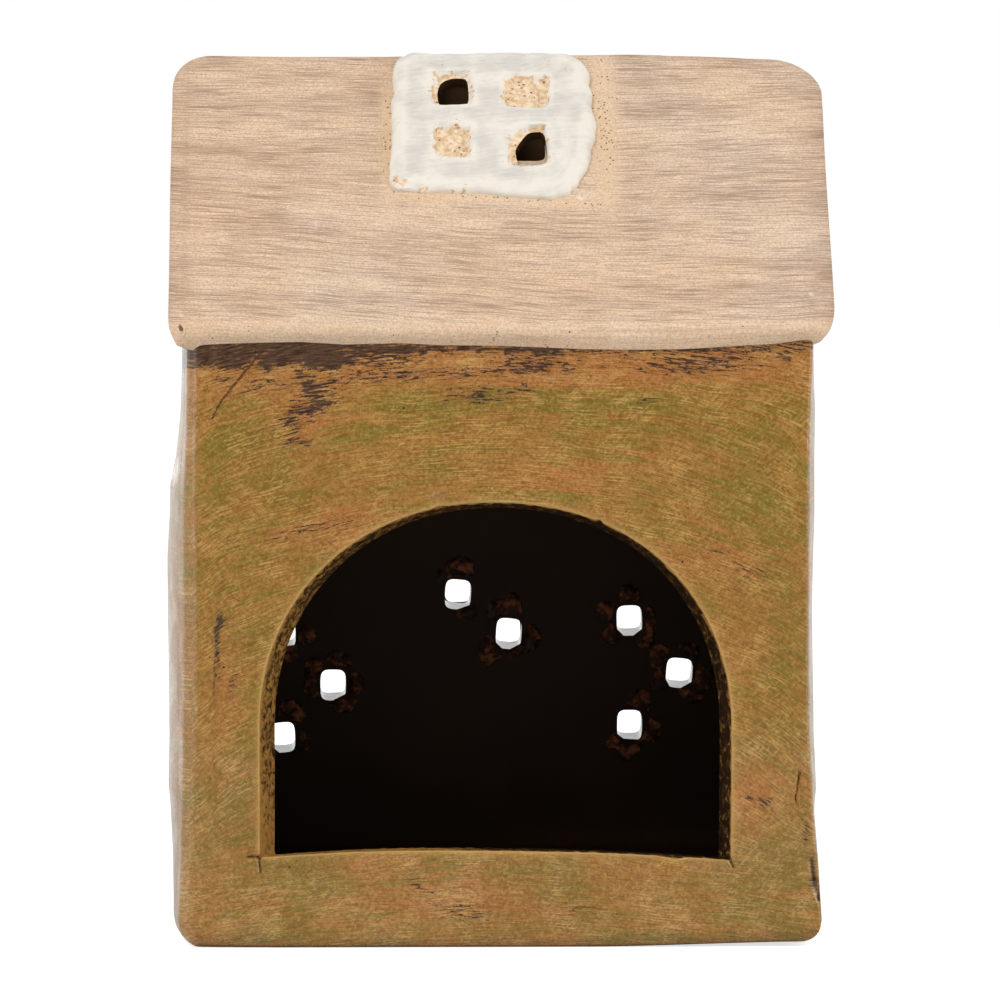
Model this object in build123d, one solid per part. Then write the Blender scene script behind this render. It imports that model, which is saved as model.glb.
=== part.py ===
from build123d import *

import os
from math import cos, radians, sin, tan

# A slab-built earthenware tealight house, in millimetres. +Z is up, the origin is the middle of
# the underside, and the rear wall, with the arched opening for the candle, faces -Y.
# Every piece is a clay slab or an applied relief, luted to its neighbour face to face.

# Base slab and walls
body_depth = 74.0  # rear face to front face
base_width = 87.8  # across the foot
body_offset = -1.1  # of the base and walls' middle line from the roof's
left_lean = 1.5  # how far a side wall leans in from rim to eaves
right_lean = 0.3
wall = 5.0  # thickness of every wall slab
corner_radius = 3.5  # upright outer corners
rim_height = 4.0  # rim of the base slab, on which the walls stand
floor_height = 8.0  # top of the raised floor inside the walls
floor_corner_radius = 2.0
foot_radius = 1.5  # rounding under the foot
seat_clearance = 0.3  # between the raised floor and the walls

# Roof, two slabs mitred at the ridge
verge_overhang = 2.04  # roof past the side walls at the eaves, both sides' mean
gable_lean = 0.7  # each gable end of the roof leans in this much from eaves to ridge
eave_overhang = 1.9  # roof past the long walls, before rounding
ridge_height = 120.5  # where the two slopes meet, before rounding
roof_pitch = 43.9  # degrees
roof_thickness = 6.0
ridge_radius = 1.6
eave_radius = 0.8
gable_corner_radius = 6.0  # ends of the ridge, seen from the rear
verge_radius = 2.0  # edges of the gable ends

# Arched opening, cut by hand with the knife leaning, so it narrows inwards
arch_width = 63.4
arch_height = 47.7  # sill to crown
arch_rise = 28.0  # springing to crown
arch_offset = 0.3  # of its middle line from the walls'
sill_height = 12.1
jamb_bevel = 1.6  # lost on each side through the wall
crown_bevel = 0.9

# Lights: square panes in the frames, every other one punched through the slab behind
light_corner_radius = 0.8
punch_clearance = 0.2  # the punched hole is this much smaller all round than its pane

# Skylight frame on the rear slope
skylight_size = 27.0
skylight_corner_radius = 3.2
skylight_thickness = 2.2
skylight_edge_radius = 1.4
skylight_offset = -0.6  # of its middle line from the roof's
skylight_ridge_gap = 1.5  # along the slope, from the ridge line to the frame
skylight_light = 4.8
skylight_pitch = 10.6

# Window frames on the front wall
window_light = 4.4
window_column_pitch = 7.1
window_row_pitch = 7.35
window_columns = 2
window_rows = 3
window_border = 2.6
window_thickness = 1.5
window_corner_radius = 2.0
window_edge_chamfer = 0.7
left_window_place_share = 0.431  # from the door surround to the corner of the house
left_window_height = 31.6  # of the frame's middle above the table
right_window_place_share = 0.422
right_window_height = 33.2

# Front door, its surround and its step
door_offset = 0.35  # of its middle line from the walls'
door_width = 15.2
door_height = 44.0
door_thickness = 0.8
door_light = 4.0
door_column_pitch = 7.0
door_row_pitch = 5.7
door_lights_drop = 7.3  # from the door's head to the middle of its lights
door_planks = 3
plank_groove_width = 0.6
plank_groove_depth = 0.5
surround_width = 2.4
surround_thickness = 1.5
surround_corner_radius = 1.6
surround_edge_chamfer = 0.6
step_width = 24.0
step_depth = 1.5
step_height = 4.4
step_lift = 0.5  # clear of the table
step_edge_radius = 0.8
knob_radius = 0.9
knob_thickness = 0.5
knob_edge_chamfer = 0.3
knob_stem_radius = 0.5
knob_stem_length = 0.2
knob_inset = 2.0  # from the door's edge
knob_height_share = 0.42  # of the door's height

cut_overrun = 1.0  # how far a cutter runs past the faces that it cuts

# Lines that several pieces share
pitch = radians(roof_pitch)
roof_width = base_width - left_lean - right_lean + 2 * verge_overhang
ridge_width = roof_width - 2 * gable_lean
rear_face = -body_depth / 2
front_face = body_depth / 2
roof_half = body_depth / 2 + eave_overhang
eave_tip_height = ridge_height - roof_half * tan(pitch)
seat_y = roof_half - roof_thickness * sin(pitch)
seat_height = eave_tip_height - roof_thickness * cos(pitch)
ridge_underside = ridge_height - roof_thickness / cos(pitch)
door_foot = step_lift + step_height
door_x = body_offset + door_offset


def side_x(side, height):
    # Outer face of a side wall at a height: each leans in evenly from rim to eaves.
    lean = left_lean if side < 0 else right_lean
    return body_offset + side * (base_width / 2 - lean * (height - rim_height) / (seat_height - rim_height))


def rear_plane(y):
    # Faces -Y, with local x along +X and local y up.
    return Plane((0, y, 0), x_dir=(1, 0, 0), z_dir=(0, -1, 0))


def front_plane(x, height):
    # On the front wall's outer face, facing +Y, with local y up.
    return Plane((x, front_face, height), x_dir=(-1, 0, 0), z_dir=(0, 1, 0))


def skylight_plane():
    # On the rear slope at the skylight's middle, facing outwards, with local y up the slope.
    along = skylight_ridge_gap + skylight_size / 2
    middle = (skylight_offset, -along * cos(pitch), ridge_height - along * sin(pitch))
    return Plane(middle, x_dir=(1, 0, 0), z_dir=(0, -sin(pitch), cos(pitch)))


def lights(columns, rows, column_pitch, row_pitch, first_is_punched):
    # Middle of each pane from the top left, and whether it is punched through: every other one is.
    found = []
    for row in range(rows):
        for column in range(columns):
            x = (column - (columns - 1) / 2) * column_pitch
            y = ((rows - 1) / 2 - row) * row_pitch
            punched = ((row + column) % 2 == 0) == first_is_punched
            found.append((x, y, punched))
    return found


skylight_lights = lights(2, 2, skylight_pitch, skylight_pitch, True)
window_lights = lights(window_columns, window_rows, window_column_pitch, window_row_pitch, False)
door_lights = lights(2, 2, door_column_pitch, door_row_pitch, False)


def light_cutter(plane, panes, size, depth, punched_only):
    # Rounded square prisms through the panes, both ways from the plane.
    corner = light_corner_radius
    places = [(x, y) for x, y, punched in panes if punched or not punched_only]
    sketch = Sketch() + [Pos(x, y) * RectangleRounded(size, size, corner) for x, y in places]
    return extrude(plane * sketch, amount=depth, both=True)


def frame_plate(plane, width, height, corner, thickness, edge, panes, pane_size, ease):
    # A flat relief with rounded corners and eased outer edges, pierced by all its panes.
    plate = extrude(plane * RectangleRounded(width, height, corner), amount=thickness)
    outer_face = plate.faces().sort_by(Axis(plane.origin, plane.z_dir))[-1]
    plate = ease(outer_face.edges(), edge)
    return plate - light_cutter(plane, panes, pane_size, thickness + cut_overrun, False)


def under_roof():
    # The space below the roof slabs: a wall cut to it gets a bird's-mouth seat at each eave.
    outline = Polygon(
        (-roof_half, 0),
        (-roof_half, eave_tip_height),
        (-seat_y, seat_height),
        (0, ridge_underside),
        (seat_y, seat_height),
        (roof_half, eave_tip_height),
        (roof_half, 0),
        align=None,
    )
    return extrude(Plane.YZ * outline, amount=base_width, both=True)


def base_slab():
    middle = Pos(body_offset, 0)
    rim = extrude(middle * RectangleRounded(base_width, body_depth, corner_radius), amount=rim_height)
    rim = fillet(rim.faces().sort_by(Axis.Z)[0].edges(), foot_radius)
    floor_width = base_width - 2 * (wall + seat_clearance)
    floor_depth = body_depth - 2 * (wall + seat_clearance)
    floor_outline = RectangleRounded(floor_width, floor_depth, floor_corner_radius)
    return rim + extrude(middle * floor_outline, amount=floor_height)


def long_wall(outer_y, inward):
    # A full-width wall slab from its outer face inwards, with its upright outer corners rounded.
    outline = Polygon(
        (side_x(-1, rim_height), rim_height),
        (side_x(1, rim_height), rim_height),
        (side_x(1, ridge_height), ridge_height),
        (side_x(-1, ridge_height), ridge_height),
        align=None,
    )
    slab = extrude(rear_plane(outer_y) * outline, amount=-inward * wall)
    outer = [f for f in slab.faces().filter_by(Axis.Y) if abs(f.center().Y - outer_y) < wall / 2]
    uprights = outer[0].edges().sort_by(Axis.X)
    slab = fillet([uprights[0], uprights[-1]], corner_radius)
    return slab & under_roof()


def arch_outline(inset_share):
    # Straight jambs under half an ellipse. The share is 0 on the rear face and 1 on the inner face.
    half = arch_width / 2 - jamb_bevel * inset_share
    springing = sill_height + arch_height - arch_rise
    rise = arch_rise - crown_bevel * inset_share
    jambs = Polyline((-half, springing), (-half, sill_height), (half, sill_height), (half, springing))
    crown = EllipticalCenterArc((0, springing), half, rise, start_angle=0, arc_size=180)
    return Pos(body_offset + arch_offset, 0) * make_face(jambs + crown)


def rear_wall():
    overrun_share = cut_overrun / wall
    outside = rear_plane(rear_face - cut_overrun) * arch_outline(-overrun_share)
    inside = rear_plane(rear_face + wall + cut_overrun) * arch_outline(1 + overrun_share)
    return long_wall(rear_face, 1) - loft([outside, inside], ruled=True)


def front_wall():
    slab = long_wall(front_face, -1)
    for x, height in window_places.values():
        hole = window_light - 2 * punch_clearance
        slab -= light_cutter(front_plane(x, height), window_lights, hole, wall + cut_overrun, True)
    hole = door_light - 2 * punch_clearance
    return slab - light_cutter(door_lights_plane(), door_lights, hole, wall + cut_overrun, True)


def side_wall(side):
    # A gable wall between the two long walls, leaning inwards.
    outline = Polygon(
        (side_x(side, rim_height), rim_height),
        (side_x(side, ridge_height), ridge_height),
        (side_x(side, ridge_height) - side * wall, ridge_height),
        (side_x(side, rim_height) - side * wall, rim_height),
        align=None,
    )
    slab = extrude(rear_plane(0) * outline, amount=body_depth / 2 - wall, both=True)
    return slab & under_roof()


def roof():
    # Both slopes in one: a gable section carried across, with the ends of the ridge rounded off.
    section = Polygon(
        (-roof_half, eave_tip_height),
        (0, ridge_height),
        (roof_half, eave_tip_height),
        (seat_y, seat_height),
        (0, ridge_underside),
        (-seat_y, seat_height),
        align=None,
    )
    tips = section.vertices().sort_by(Axis.X)
    section = fillet([tips[0], tips[-1]], eave_radius)
    section = fillet(section.vertices().sort_by(Axis.Y)[-1], ridge_radius)
    slopes = extrude(Plane.YZ * section, amount=roof_width / 2, both=True)
    elevation = Polygon(
        (-roof_width / 2, seat_height - cut_overrun),
        (roof_width / 2, seat_height - cut_overrun),
        (ridge_width / 2, ridge_height),
        (-ridge_width / 2, ridge_height),
        align=None,
    )
    elevation = fillet(elevation.vertices().sort_by(Axis.Y)[-2:], gable_corner_radius)
    rounded = slopes & extrude(rear_plane(0) * elevation, amount=body_depth, both=True)
    return fillet(verge_edges(rounded), verge_radius)


def verge_edges(solid):
    # Edges of the gable ends that lie near the outer surface, without those that run along the house.
    found = []
    for edge in solid.edges():
        middle = edge.center()
        depth = ridge_height - abs(middle.Y) * tan(pitch) - middle.Z
        if edge.bounding_box().size.X < roof_width / 2 and depth < roof_thickness / 2:
            found.append(edge)
    return found


def roof_slabs():
    # The two slabs, parted at the ridge, with the skylight's panes punched through the rear one.
    whole = roof()
    rear = split(whole, bisect_by=Plane.XZ, keep=Keep.TOP)
    front = split(whole, bisect_by=Plane.XZ, keep=Keep.BOTTOM)
    hole = skylight_light - 2 * punch_clearance
    depth = roof_thickness + cut_overrun
    return rear - light_cutter(skylight_plane(), skylight_lights, hole, depth, True), front


def skylight_frame():
    return frame_plate(
        skylight_plane(),
        skylight_size,
        skylight_size,
        skylight_corner_radius,
        skylight_thickness,
        skylight_edge_radius,
        skylight_lights,
        skylight_light,
        fillet,
    )


def window_x(side, place_share):
    # Middle line of a window between the door surround and a corner of the house.
    surround = door_x + side * (door_width / 2 + surround_width)
    return surround + place_share * (side_x(side, rim_height) - surround)


window_places = {
    "left_window_frame": (window_x(-1, left_window_place_share), left_window_height),
    "right_window_frame": (window_x(1, right_window_place_share), right_window_height),
}


def window_frame(x, height):
    return frame_plate(
        front_plane(x, height),
        (window_columns - 1) * window_column_pitch + window_light + 2 * window_border,
        (window_rows - 1) * window_row_pitch + window_light + 2 * window_border,
        window_corner_radius,
        window_thickness,
        window_edge_chamfer,
        window_lights,
        window_light,
        chamfer,
    )


def door_lights_plane():
    return front_plane(door_x, door_foot + door_height - door_lights_drop)


def door_leaf():
    # Planks below, and four lights above.
    plane = front_plane(door_x, door_foot + door_height / 2)
    leaf = extrude(plane * Rectangle(door_width, door_height), amount=door_thickness)
    leaf -= light_cutter(door_lights_plane(), door_lights, door_light, door_thickness + cut_overrun, False)
    groove_length = door_height - 2 * door_lights_drop
    groove_middle = (groove_length - door_height) / 2
    plank_width = door_width / door_planks
    face_plane = plane.offset(door_thickness)
    for line in range(1, door_planks):
        x = line * plank_width - door_width / 2
        groove = Pos(x, groove_middle) * Rectangle(plank_groove_width, groove_length)
        leaf -= extrude(face_plane * groove, amount=plank_groove_depth, both=True)
    return leaf


def door_surround():
    # Two posts and a lintel round the door.
    plane = front_plane(door_x, door_foot)
    width = door_width + 2 * surround_width
    height = door_height + surround_width
    outer = Pos(0, height / 2) * Rectangle(width, height)
    outer = fillet(outer.vertices().sort_by(Axis.Y)[-2:], surround_corner_radius)
    opening = Pos(0, door_height / 2) * Rectangle(door_width, door_height)
    frame = extrude(plane * (outer - opening), amount=surround_thickness)
    face = frame.faces().sort_by(Axis.Y)[-1]
    reach = (door_width + surround_width) / 2
    head = door_foot + door_height + surround_width / 2
    rim = [e for e in face.edges() if abs(e.center().X - door_x) > reach or e.center().Z > head]
    return chamfer(rim, surround_edge_chamfer)


def doorstep():
    plane = front_plane(door_x, step_lift)
    block = extrude(plane * (Pos(0, step_height / 2) * Rectangle(step_width, step_height)), amount=step_depth)
    return fillet(block.faces().sort_by(Axis.Y)[-1].edges(), step_edge_radius)


def door_knob():
    # A button of clay on a short neck, on the lock side of the door.
    x = door_x + door_width / 2 - knob_inset
    plane = front_plane(x, door_foot + door_height * knob_height_share).offset(door_thickness)
    button = extrude(plane.offset(knob_stem_length) * Circle(knob_radius), amount=knob_thickness)
    button = chamfer(button.faces().sort_by(Axis.Y)[-1].edges(), knob_edge_chamfer)
    return button + extrude(plane * Circle(knob_stem_radius), amount=knob_stem_length)


def pieces():
    rear_slab, front_slab = roof_slabs()
    found = {
        "base_slab": base_slab(),
        "rear_wall": rear_wall(),
        "front_wall": front_wall(),
        "left_wall": side_wall(-1),
        "right_wall": side_wall(1),
        "roof_rear_slab": rear_slab,
        "roof_front_slab": front_slab,
        "skylight_frame": skylight_frame(),
        "door_leaf": door_leaf(),
        "door_surround": door_surround(),
        "doorstep": doorstep(),
        "door_knob": door_knob(),
    }
    for name, (x, height) in window_places.items():
        found[name] = window_frame(x, height)
    return found


os.makedirs("parts", exist_ok=True)
for name, solid in pieces().items():
    export_step(solid, f"parts/{name}.step")
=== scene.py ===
import bpy
import math
import numpy as np
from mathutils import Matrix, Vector


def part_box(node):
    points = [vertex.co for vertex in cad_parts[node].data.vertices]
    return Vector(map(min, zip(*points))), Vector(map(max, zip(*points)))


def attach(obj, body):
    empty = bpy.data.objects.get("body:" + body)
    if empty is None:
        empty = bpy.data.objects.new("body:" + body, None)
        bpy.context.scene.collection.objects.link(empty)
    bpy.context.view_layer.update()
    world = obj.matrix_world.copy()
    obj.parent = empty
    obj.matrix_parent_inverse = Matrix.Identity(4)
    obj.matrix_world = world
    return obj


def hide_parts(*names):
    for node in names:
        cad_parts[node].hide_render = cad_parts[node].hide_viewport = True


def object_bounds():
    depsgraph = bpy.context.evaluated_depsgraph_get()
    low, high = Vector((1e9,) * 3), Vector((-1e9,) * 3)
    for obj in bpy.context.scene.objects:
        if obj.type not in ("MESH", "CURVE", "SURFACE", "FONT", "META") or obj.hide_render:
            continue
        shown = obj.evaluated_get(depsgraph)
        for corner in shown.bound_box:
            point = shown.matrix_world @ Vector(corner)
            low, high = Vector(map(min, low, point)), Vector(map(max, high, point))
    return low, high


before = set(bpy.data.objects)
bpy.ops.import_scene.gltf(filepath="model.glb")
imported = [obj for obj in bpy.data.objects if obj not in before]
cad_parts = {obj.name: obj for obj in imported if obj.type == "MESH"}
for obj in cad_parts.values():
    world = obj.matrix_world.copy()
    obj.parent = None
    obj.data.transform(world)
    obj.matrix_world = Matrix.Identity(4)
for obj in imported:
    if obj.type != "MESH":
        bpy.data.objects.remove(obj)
cadBox = [list(corner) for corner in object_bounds()]
mm = 0.001  # shapes are worked out in millimetres, the scene is in metres
print("frame loaded:", len(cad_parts), "clay pieces")


def boxOf(node):  # lowest and highest corner of a CAD piece, in mm
    return [np.array(corner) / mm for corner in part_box(node)]


rearLow, rearHigh = boxOf("rear_wall")
baseLow, baseHigh = boxOf("base_slab")

house = {
    "rear": rearLow[1],
    "front": boxOf("front_wall")[1][1],
    "wall": rearHigh[1] - rearLow[1],
    "rim": rearLow[2],  # top of the base slab's rim, where the walls stand
    "floor": baseHigh[2],
    "foot": (baseLow[0], baseHigh[0]),  # left and right end of the foot
    "leans": (1.5, 0.3),  # how much the left and the right wall lean in by the eaves
    "eaves": 79.4,
    "head": 82.0,  # top of the long walls, in the roof
    "corners": {  # size across and along, and power
        (-1, -1): (2.0, 2.6, 1.8),
        (1, -1): (0.5, 0.9, 2.0),
        (-1, 1): (3.5, 3.5, 2.0),
        (1, 1): (3.5, 3.5, 2.0),
    },
    "ridge": 120.6,
    "pitch": math.radians(43.9),
    "slab": 6.0,  # roof thickness
}


def soft(low, high, value):  # smooth step from 0 at low to 1 at high
    share = np.clip((value - low) / (high - low), 0, 1)
    return share * share * (3 - 2 * share)


def roundOff(distance, radius):  # how far a rounded edge drops: a quarter circle over its radius
    gap = np.clip(radius - distance, 0, radius)
    return radius - np.sqrt(radius * radius - gap * gap)


def waves(points, length, seed, count=8):
    # uneven field of about -1 to 1: a sum of sine waves in seeded directions, each near the given length
    rng = np.random.default_rng(seed)
    ways = rng.normal(size=(3, count))
    ways *= 2 * np.pi / (length * rng.uniform(0.7, 1.6, count) * np.linalg.norm(ways, axis=0))
    return np.sin(points @ ways + rng.uniform(0, 2 * np.pi, count)).sum(-1) / math.sqrt(2 * count)


def spread(x, z, patches):
    # sum of soft tilted ovals, each x, z, half length, half width, turn in degrees and strength
    total = np.zeros(np.shape(x))
    for px, pz, length, width, turn, strength in patches:
        c, s = math.cos(math.radians(turn)), math.sin(math.radians(turn))
        along, across = (x - px) * c + (z - pz) * s, (z - pz) * c - (x - px) * s
        total += strength * np.exp(-((along / length) ** 2) - (across / width) ** 2)
    return total


def sideX(side, z):  # outer x of the left wall, side -1, or of the right wall, side 1, at a height
    at = 0 if side < 0 else 1
    return house["foot"][at] - side * house["leans"][at] * (z - house["rim"]) / (house["eaves"] - house["rim"])


hand = {
    "wobble": 0.12,
    "wobbleLength": 40.0,
    # outermost x of the leaning, pressed and patted sides at heights, and x of their rear ends
    "heights": (4, 11, 18, 21, 28, 38, 45, 52, 58, 62, 65, 72, 79),
    "left": (-44.1, -44.2, -44.6, -44.9, -44.8, -44.9, -45.0, -45.0, -44.6, -44.5, -43.8, -43.1, -43.0),
    "right": (43.4, 43.1, 42.5, 42.8, 42.5, 42.4, 42.3, 42.4, 42.6, 42.6, 42.6, 42.7, 42.4),
    "leftEnd": (-43.2, -42.9, -42.6, -42.5, -42.3, -42.2, -42.2, -42.2, -42.2, -42.2, -42.1, -42.0, -42.0),
    "rightEnd": (43.2, 42.7, 42.0, 41.8, 41.45, 41.3, 41.3, 41.3, 41.35, 41.4, 41.4, 41.6, 41.9),
    "leftBend": (-36.0, -20.0),  # y at the rear end, and where the wall is outermost
    "rightBend": (-36.5, -27.0),
    "sideFrom": (37, 42.5),  # distance from the middle at which the sides' moves set in
    "sideUpTo": (82, 92),  # heights between which they fade out
}


def handBuilt(points, sides=True):
    # moves every piece alike, so that neighbours stay matched: the sides go out or in to their profiles and
    # bend in to their rear ends in a parabola, and all faces waver
    x, y, z = points[:, 0], points[:, 1], points[:, 2]
    moved = points.copy()
    if sides:
        for way, name in ((-1, "left"), (1, "right")):
            outermost, end = (np.interp(z, hand["heights"], hand[key]) for key in (name, name + "End"))
            first, last = hand[name + "Bend"]
            left = np.clip((last - y) / (last - first), 0, 1)
            target = end + (outermost - end) * (1 - left**2)
            share = (1 - soft(*hand["sideUpTo"], z)) * soft(*hand["sideFrom"], way * x)
            moved[:, 0] += share * (target - sideX(way, z))
    for axis in range(3):
        sway = hand["wobble"] * waves(points, hand["wobbleLength"], 11 + axis)
        moved[:, axis] += sway * (soft(0, 8, z) if axis == 2 else 1)
    low, high = np.array(cadBox[0]) / mm, np.array(cadBox[1]) / mm
    return np.clip(moved, low, high)


def roundCorners(points):
    # draws the square upright corners in: each corner square becomes a quarter of a superellipse, which is a
    # quarter disc at power 2 and nearly a flat facet at lower powers
    out = points.copy()
    x, y = points[..., 0], points[..., 1]
    for (wayX, wayY), (across, along, power) in house["corners"].items():
        over = wayX * (x - sideX(wayX, points[..., 2])) / across + 1
        back = (wayY * y - house["front"]) / along + 1
        inside = (over > 0) & (back > 0)
        over, back = np.maximum(over, 1e-9), np.maximum(back, 1e-9)
        pull = 1 - np.maximum(over, back) / (over**power + back**power) ** (1 / power)
        out[..., 0] -= np.where(inside, wayX * across * over * pull, 0)
        out[..., 1] -= np.where(inside, wayY * along * back * pull, 0)
    return out


def addPiece(name, points, quads, paints, paintOf=None, fields=None, sharpAngle=40, sides=True):
    # puts points and faces into a mesh, turned outwards, with its fields as attributes
    points = handBuilt(points.reshape(-1, 3), sides)
    fromMiddle = points[quads] - points.mean(0)
    a, b, c, d = (fromMiddle[:, k] for k in range(4))
    volume = np.einsum("ij,ij->", a, np.cross(b, c)) + np.einsum("ij,ij->", a, np.cross(c, d))
    if volume < 0:
        quads = quads[:, ::-1]
    used, places = np.unique(quads, return_inverse=True)
    mesh = bpy.data.meshes.new(name)
    mesh.from_pydata((points[used] * mm).tolist(), [], places.reshape(quads.shape).tolist())
    for paint in paints:
        mesh.materials.append(paint)
    if paintOf is not None:
        mesh.polygons.foreach_set("material_index", paintOf.astype(np.int32))
    for field, values in (fields or {}).items():
        flat = values.reshape(len(points), -1)[used].astype(np.float32)
        kind, slot = ("FLOAT_VECTOR", "vector") if flat.shape[1] == 3 else ("FLOAT", "value")
        mesh.attributes.new(field, kind, "POINT").data.foreach_set(slot, flat.ravel())
    mesh.polygons.foreach_set("use_smooth", np.ones(len(quads), bool))
    mesh.set_sharp_from_angle(angle=math.radians(sharpAngle))
    mesh.update()
    piece = bpy.data.objects.new(name, mesh)
    bpy.context.scene.collection.objects.link(piece)
    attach(piece, "root")
    print("piece", name, len(quads), "quads")
    return piece


def slabQuads(keep):
    # faces of a slab between an upper and a lower grid: kept cells above, the same turned over below, and a
    # wall along every edge where a kept cell meets none. Also says which is which: 0 above, 1 below, 2 wall
    rows, columns = keep.shape[0] + 1, keep.shape[1] + 1
    i = np.arange(rows * columns).reshape(rows, columns)
    down = rows * columns
    above = np.stack([i[:-1, :-1], i[1:, :-1], i[1:, 1:], i[:-1, 1:]], -1)[keep]
    edges = []
    ringed = np.pad(keep, 1)
    before, after = ringed[:-1, 1:-1], ringed[1:, 1:-1]
    a, b = i[:, :-1], i[:, 1:]
    edges.append(np.stack([a, b], -1)[after & ~before])
    edges.append(np.stack([b, a], -1)[before & ~after])
    before, after = ringed[1:-1, :-1], ringed[1:-1, 1:]
    a, b = i[:-1, :], i[1:, :]
    edges.append(np.stack([b, a], -1)[after & ~before])
    edges.append(np.stack([a, b], -1)[before & ~after])
    edge = np.concatenate(edges)
    walls = np.stack([edge[:, 0], edge[:, 1], edge[:, 1] + down, edge[:, 0] + down], -1)
    quads = np.concatenate([above, above[:, ::-1] + down, walls])
    which = np.repeat([0, 1, 2], [len(above), len(above), len(walls)])
    return quads, which


def gridLines(low, high, step, marks):
    # close lines across each mark, which is a middle and a half width, and even lines between the marks
    close = np.concatenate([[low, high]] + [middle + half * np.linspace(-1.4, 1.4, 15) for middle, half in marks])
    even = np.linspace(low, high, int(round((high - low) / step)) + 1)
    even = even[np.abs(even[:, None] - close).min(1) > 0.4 * step]
    return np.unique(np.concatenate([even, close]).round(4))


def crowd(lines, low, high, close):  # adds close lines inside both borders
    return np.unique(np.concatenate([lines, low + close, high - close]).round(4))


def allCells(grid):  # every cell of a grid, for a slab without holes
    return np.ones((grid.shape[0] - 1, grid.shape[1] - 1), bool)


def cutHoles(u, v, holes):
    # which cells of a grid stay: those whose middle lies in none of the square holes
    middleU, middleV = (u[:-1, :-1] + u[1:, 1:]) / 2, (v[:-1, :-1] + v[1:, 1:]) / 2
    keep = np.ones(middleU.shape, bool)
    for hole in holes:
        keep &= (np.abs(middleU - hole["u"]) > hole["half"]) | (np.abs(middleV - hole["v"]) > hole["half"])
    return keep


def shapeHoles(u, v, holes, power=4.0):
    # gives square holes their shape: near each, a point on a square round the hole moves in to a
    # superellipse, which is then stretched, turned and shifted a little, as the punch was held
    u, v = u.copy(), v.copy()
    for hole in holes:
        du, dv = u - hole["u"], v - hole["v"]
        square = np.maximum(np.abs(du), np.abs(dv))
        near = 1 - soft(hole["half"], hole["half"] * 1.9, square)
        bulged = (np.abs(du) ** power + np.abs(dv) ** power) ** (1 / power)
        pull = 1 - near * (1 - square / np.maximum(bulged, 1e-6))
        c, s = np.cos(hole["turn"] * near), np.sin(hole["turn"] * near)
        wide, tall, shiftU, shiftV = hole["fit"]
        u += (du * c - dv * s) * pull * (1 + (wide - 1) * near) - du + shiftU * near
        v += (du * s + dv * c) * pull * (1 + (tall - 1) * near) - dv + shiftV * near
        nick = hole.get("nick", 0) * near * soft(0.8, 2.0, (dv - du) / hole["half"])  # upper left corner filled
        u, v = u + nick, v - nick
    return u, v


def linear(hexColour):  # sRGB hex to linear colour with alpha
    channels = [int(hexColour[k : k + 2], 16) / 255 for k in (1, 3, 5)]
    return tuple(c / 12.92 if c <= 0.04045 else ((c + 0.055) / 1.055) ** 2.4 for c in channels) + (1.0,)


def add(tree, kind, links=None, out=0, **settings):
    # one node with its settings and its inputs, given as sockets or values; returns an output
    made = tree.nodes.new("ShaderNode" + kind)
    for name, value in settings.items():
        setattr(made, name, value)
    for key, value in (links or {}).items():
        if isinstance(value, bpy.types.NodeSocket):
            tree.links.new(value, made.inputs[key])
        else:
            made.inputs[key].default_value = value
    return made.outputs[out]


def newMaterial(name):
    material = bpy.data.materials.new(name)
    material.use_nodes = True
    tree = material.node_tree
    return material, tree, tree.nodes["Principled BSDF"]


smooth, straight = "SMOOTHSTEP", "LINEAR"  # how a layer of colour sets in


def layColours(tree, colour, layers):
    # lays colours over each other: a layer follows a value, from none of it at low to its most at high, and
    # may be held to where a second value is strong
    for value, low, high, most, ramp, held, shade in layers:
        amount = add(tree, "MapRange", {0: value, 1: low, 2: high, 3: 0.0, 4: most}, interpolation_type=ramp)
        if held is not None:
            amount = add(tree, "Math", {0: amount, 1: held}, operation="MULTIPLY", use_clamp=True)
        shade = linear(shade) if isinstance(shade, str) else shade
        colour = add(tree, "Mix", {0: amount, 6: colour, 7: shade}, out=2, data_type="RGBA")
    return colour


def brushMarks(tree, stroke, kinds):
    # noise drawn out along the strokes: each kind has a shift, a length and a width in mm, detail, roughness
    marks = []
    for shift, long, wide, detail, roughness in kinds:
        drawn = add(tree, "Mapping", {"Vector": stroke, "Location": shift, "Scale": (1 / long, 1 / wide, 1.0)})
        settings = {"Vector": drawn, "Scale": 1.0, "Detail": detail, "Roughness": roughness}
        marks.append(add(tree, "TexNoise", settings))
    return marks


def wanderingStroke(tree, place, size, detail, sway):
    # the piece's brush coordinates, swaying by up to so many mm along and across
    stroke = add(tree, "Attribute", out="Vector", attribute_name="stroke")
    wander = add(tree, "TexNoise", {"Vector": place, "Scale": 1 / size, "Detail": detail}, out="Color")
    wander = add(tree, "VectorMath", {0: wander, 1: (0.5, 0.5, 0.5)}, operation="SUBTRACT")
    return add(tree, "VectorMath", {0: wander, 1: sway, 2: stroke}, operation="MULTIPLY_ADD")


def dress(tree, shader, colour, relief, strength, depth, uniform):
    # colour and relief onto the shader, and its uniform values
    tree.links.new(colour, shader.inputs["Base Color"])
    bump = add(tree, "Bump", {"Strength": strength, "Distance": depth, "Height": relief})
    tree.links.new(bump, shader.inputs["Normal"])
    for socket, value in uniform.items():
        shader.inputs[socket].default_value = value


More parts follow.
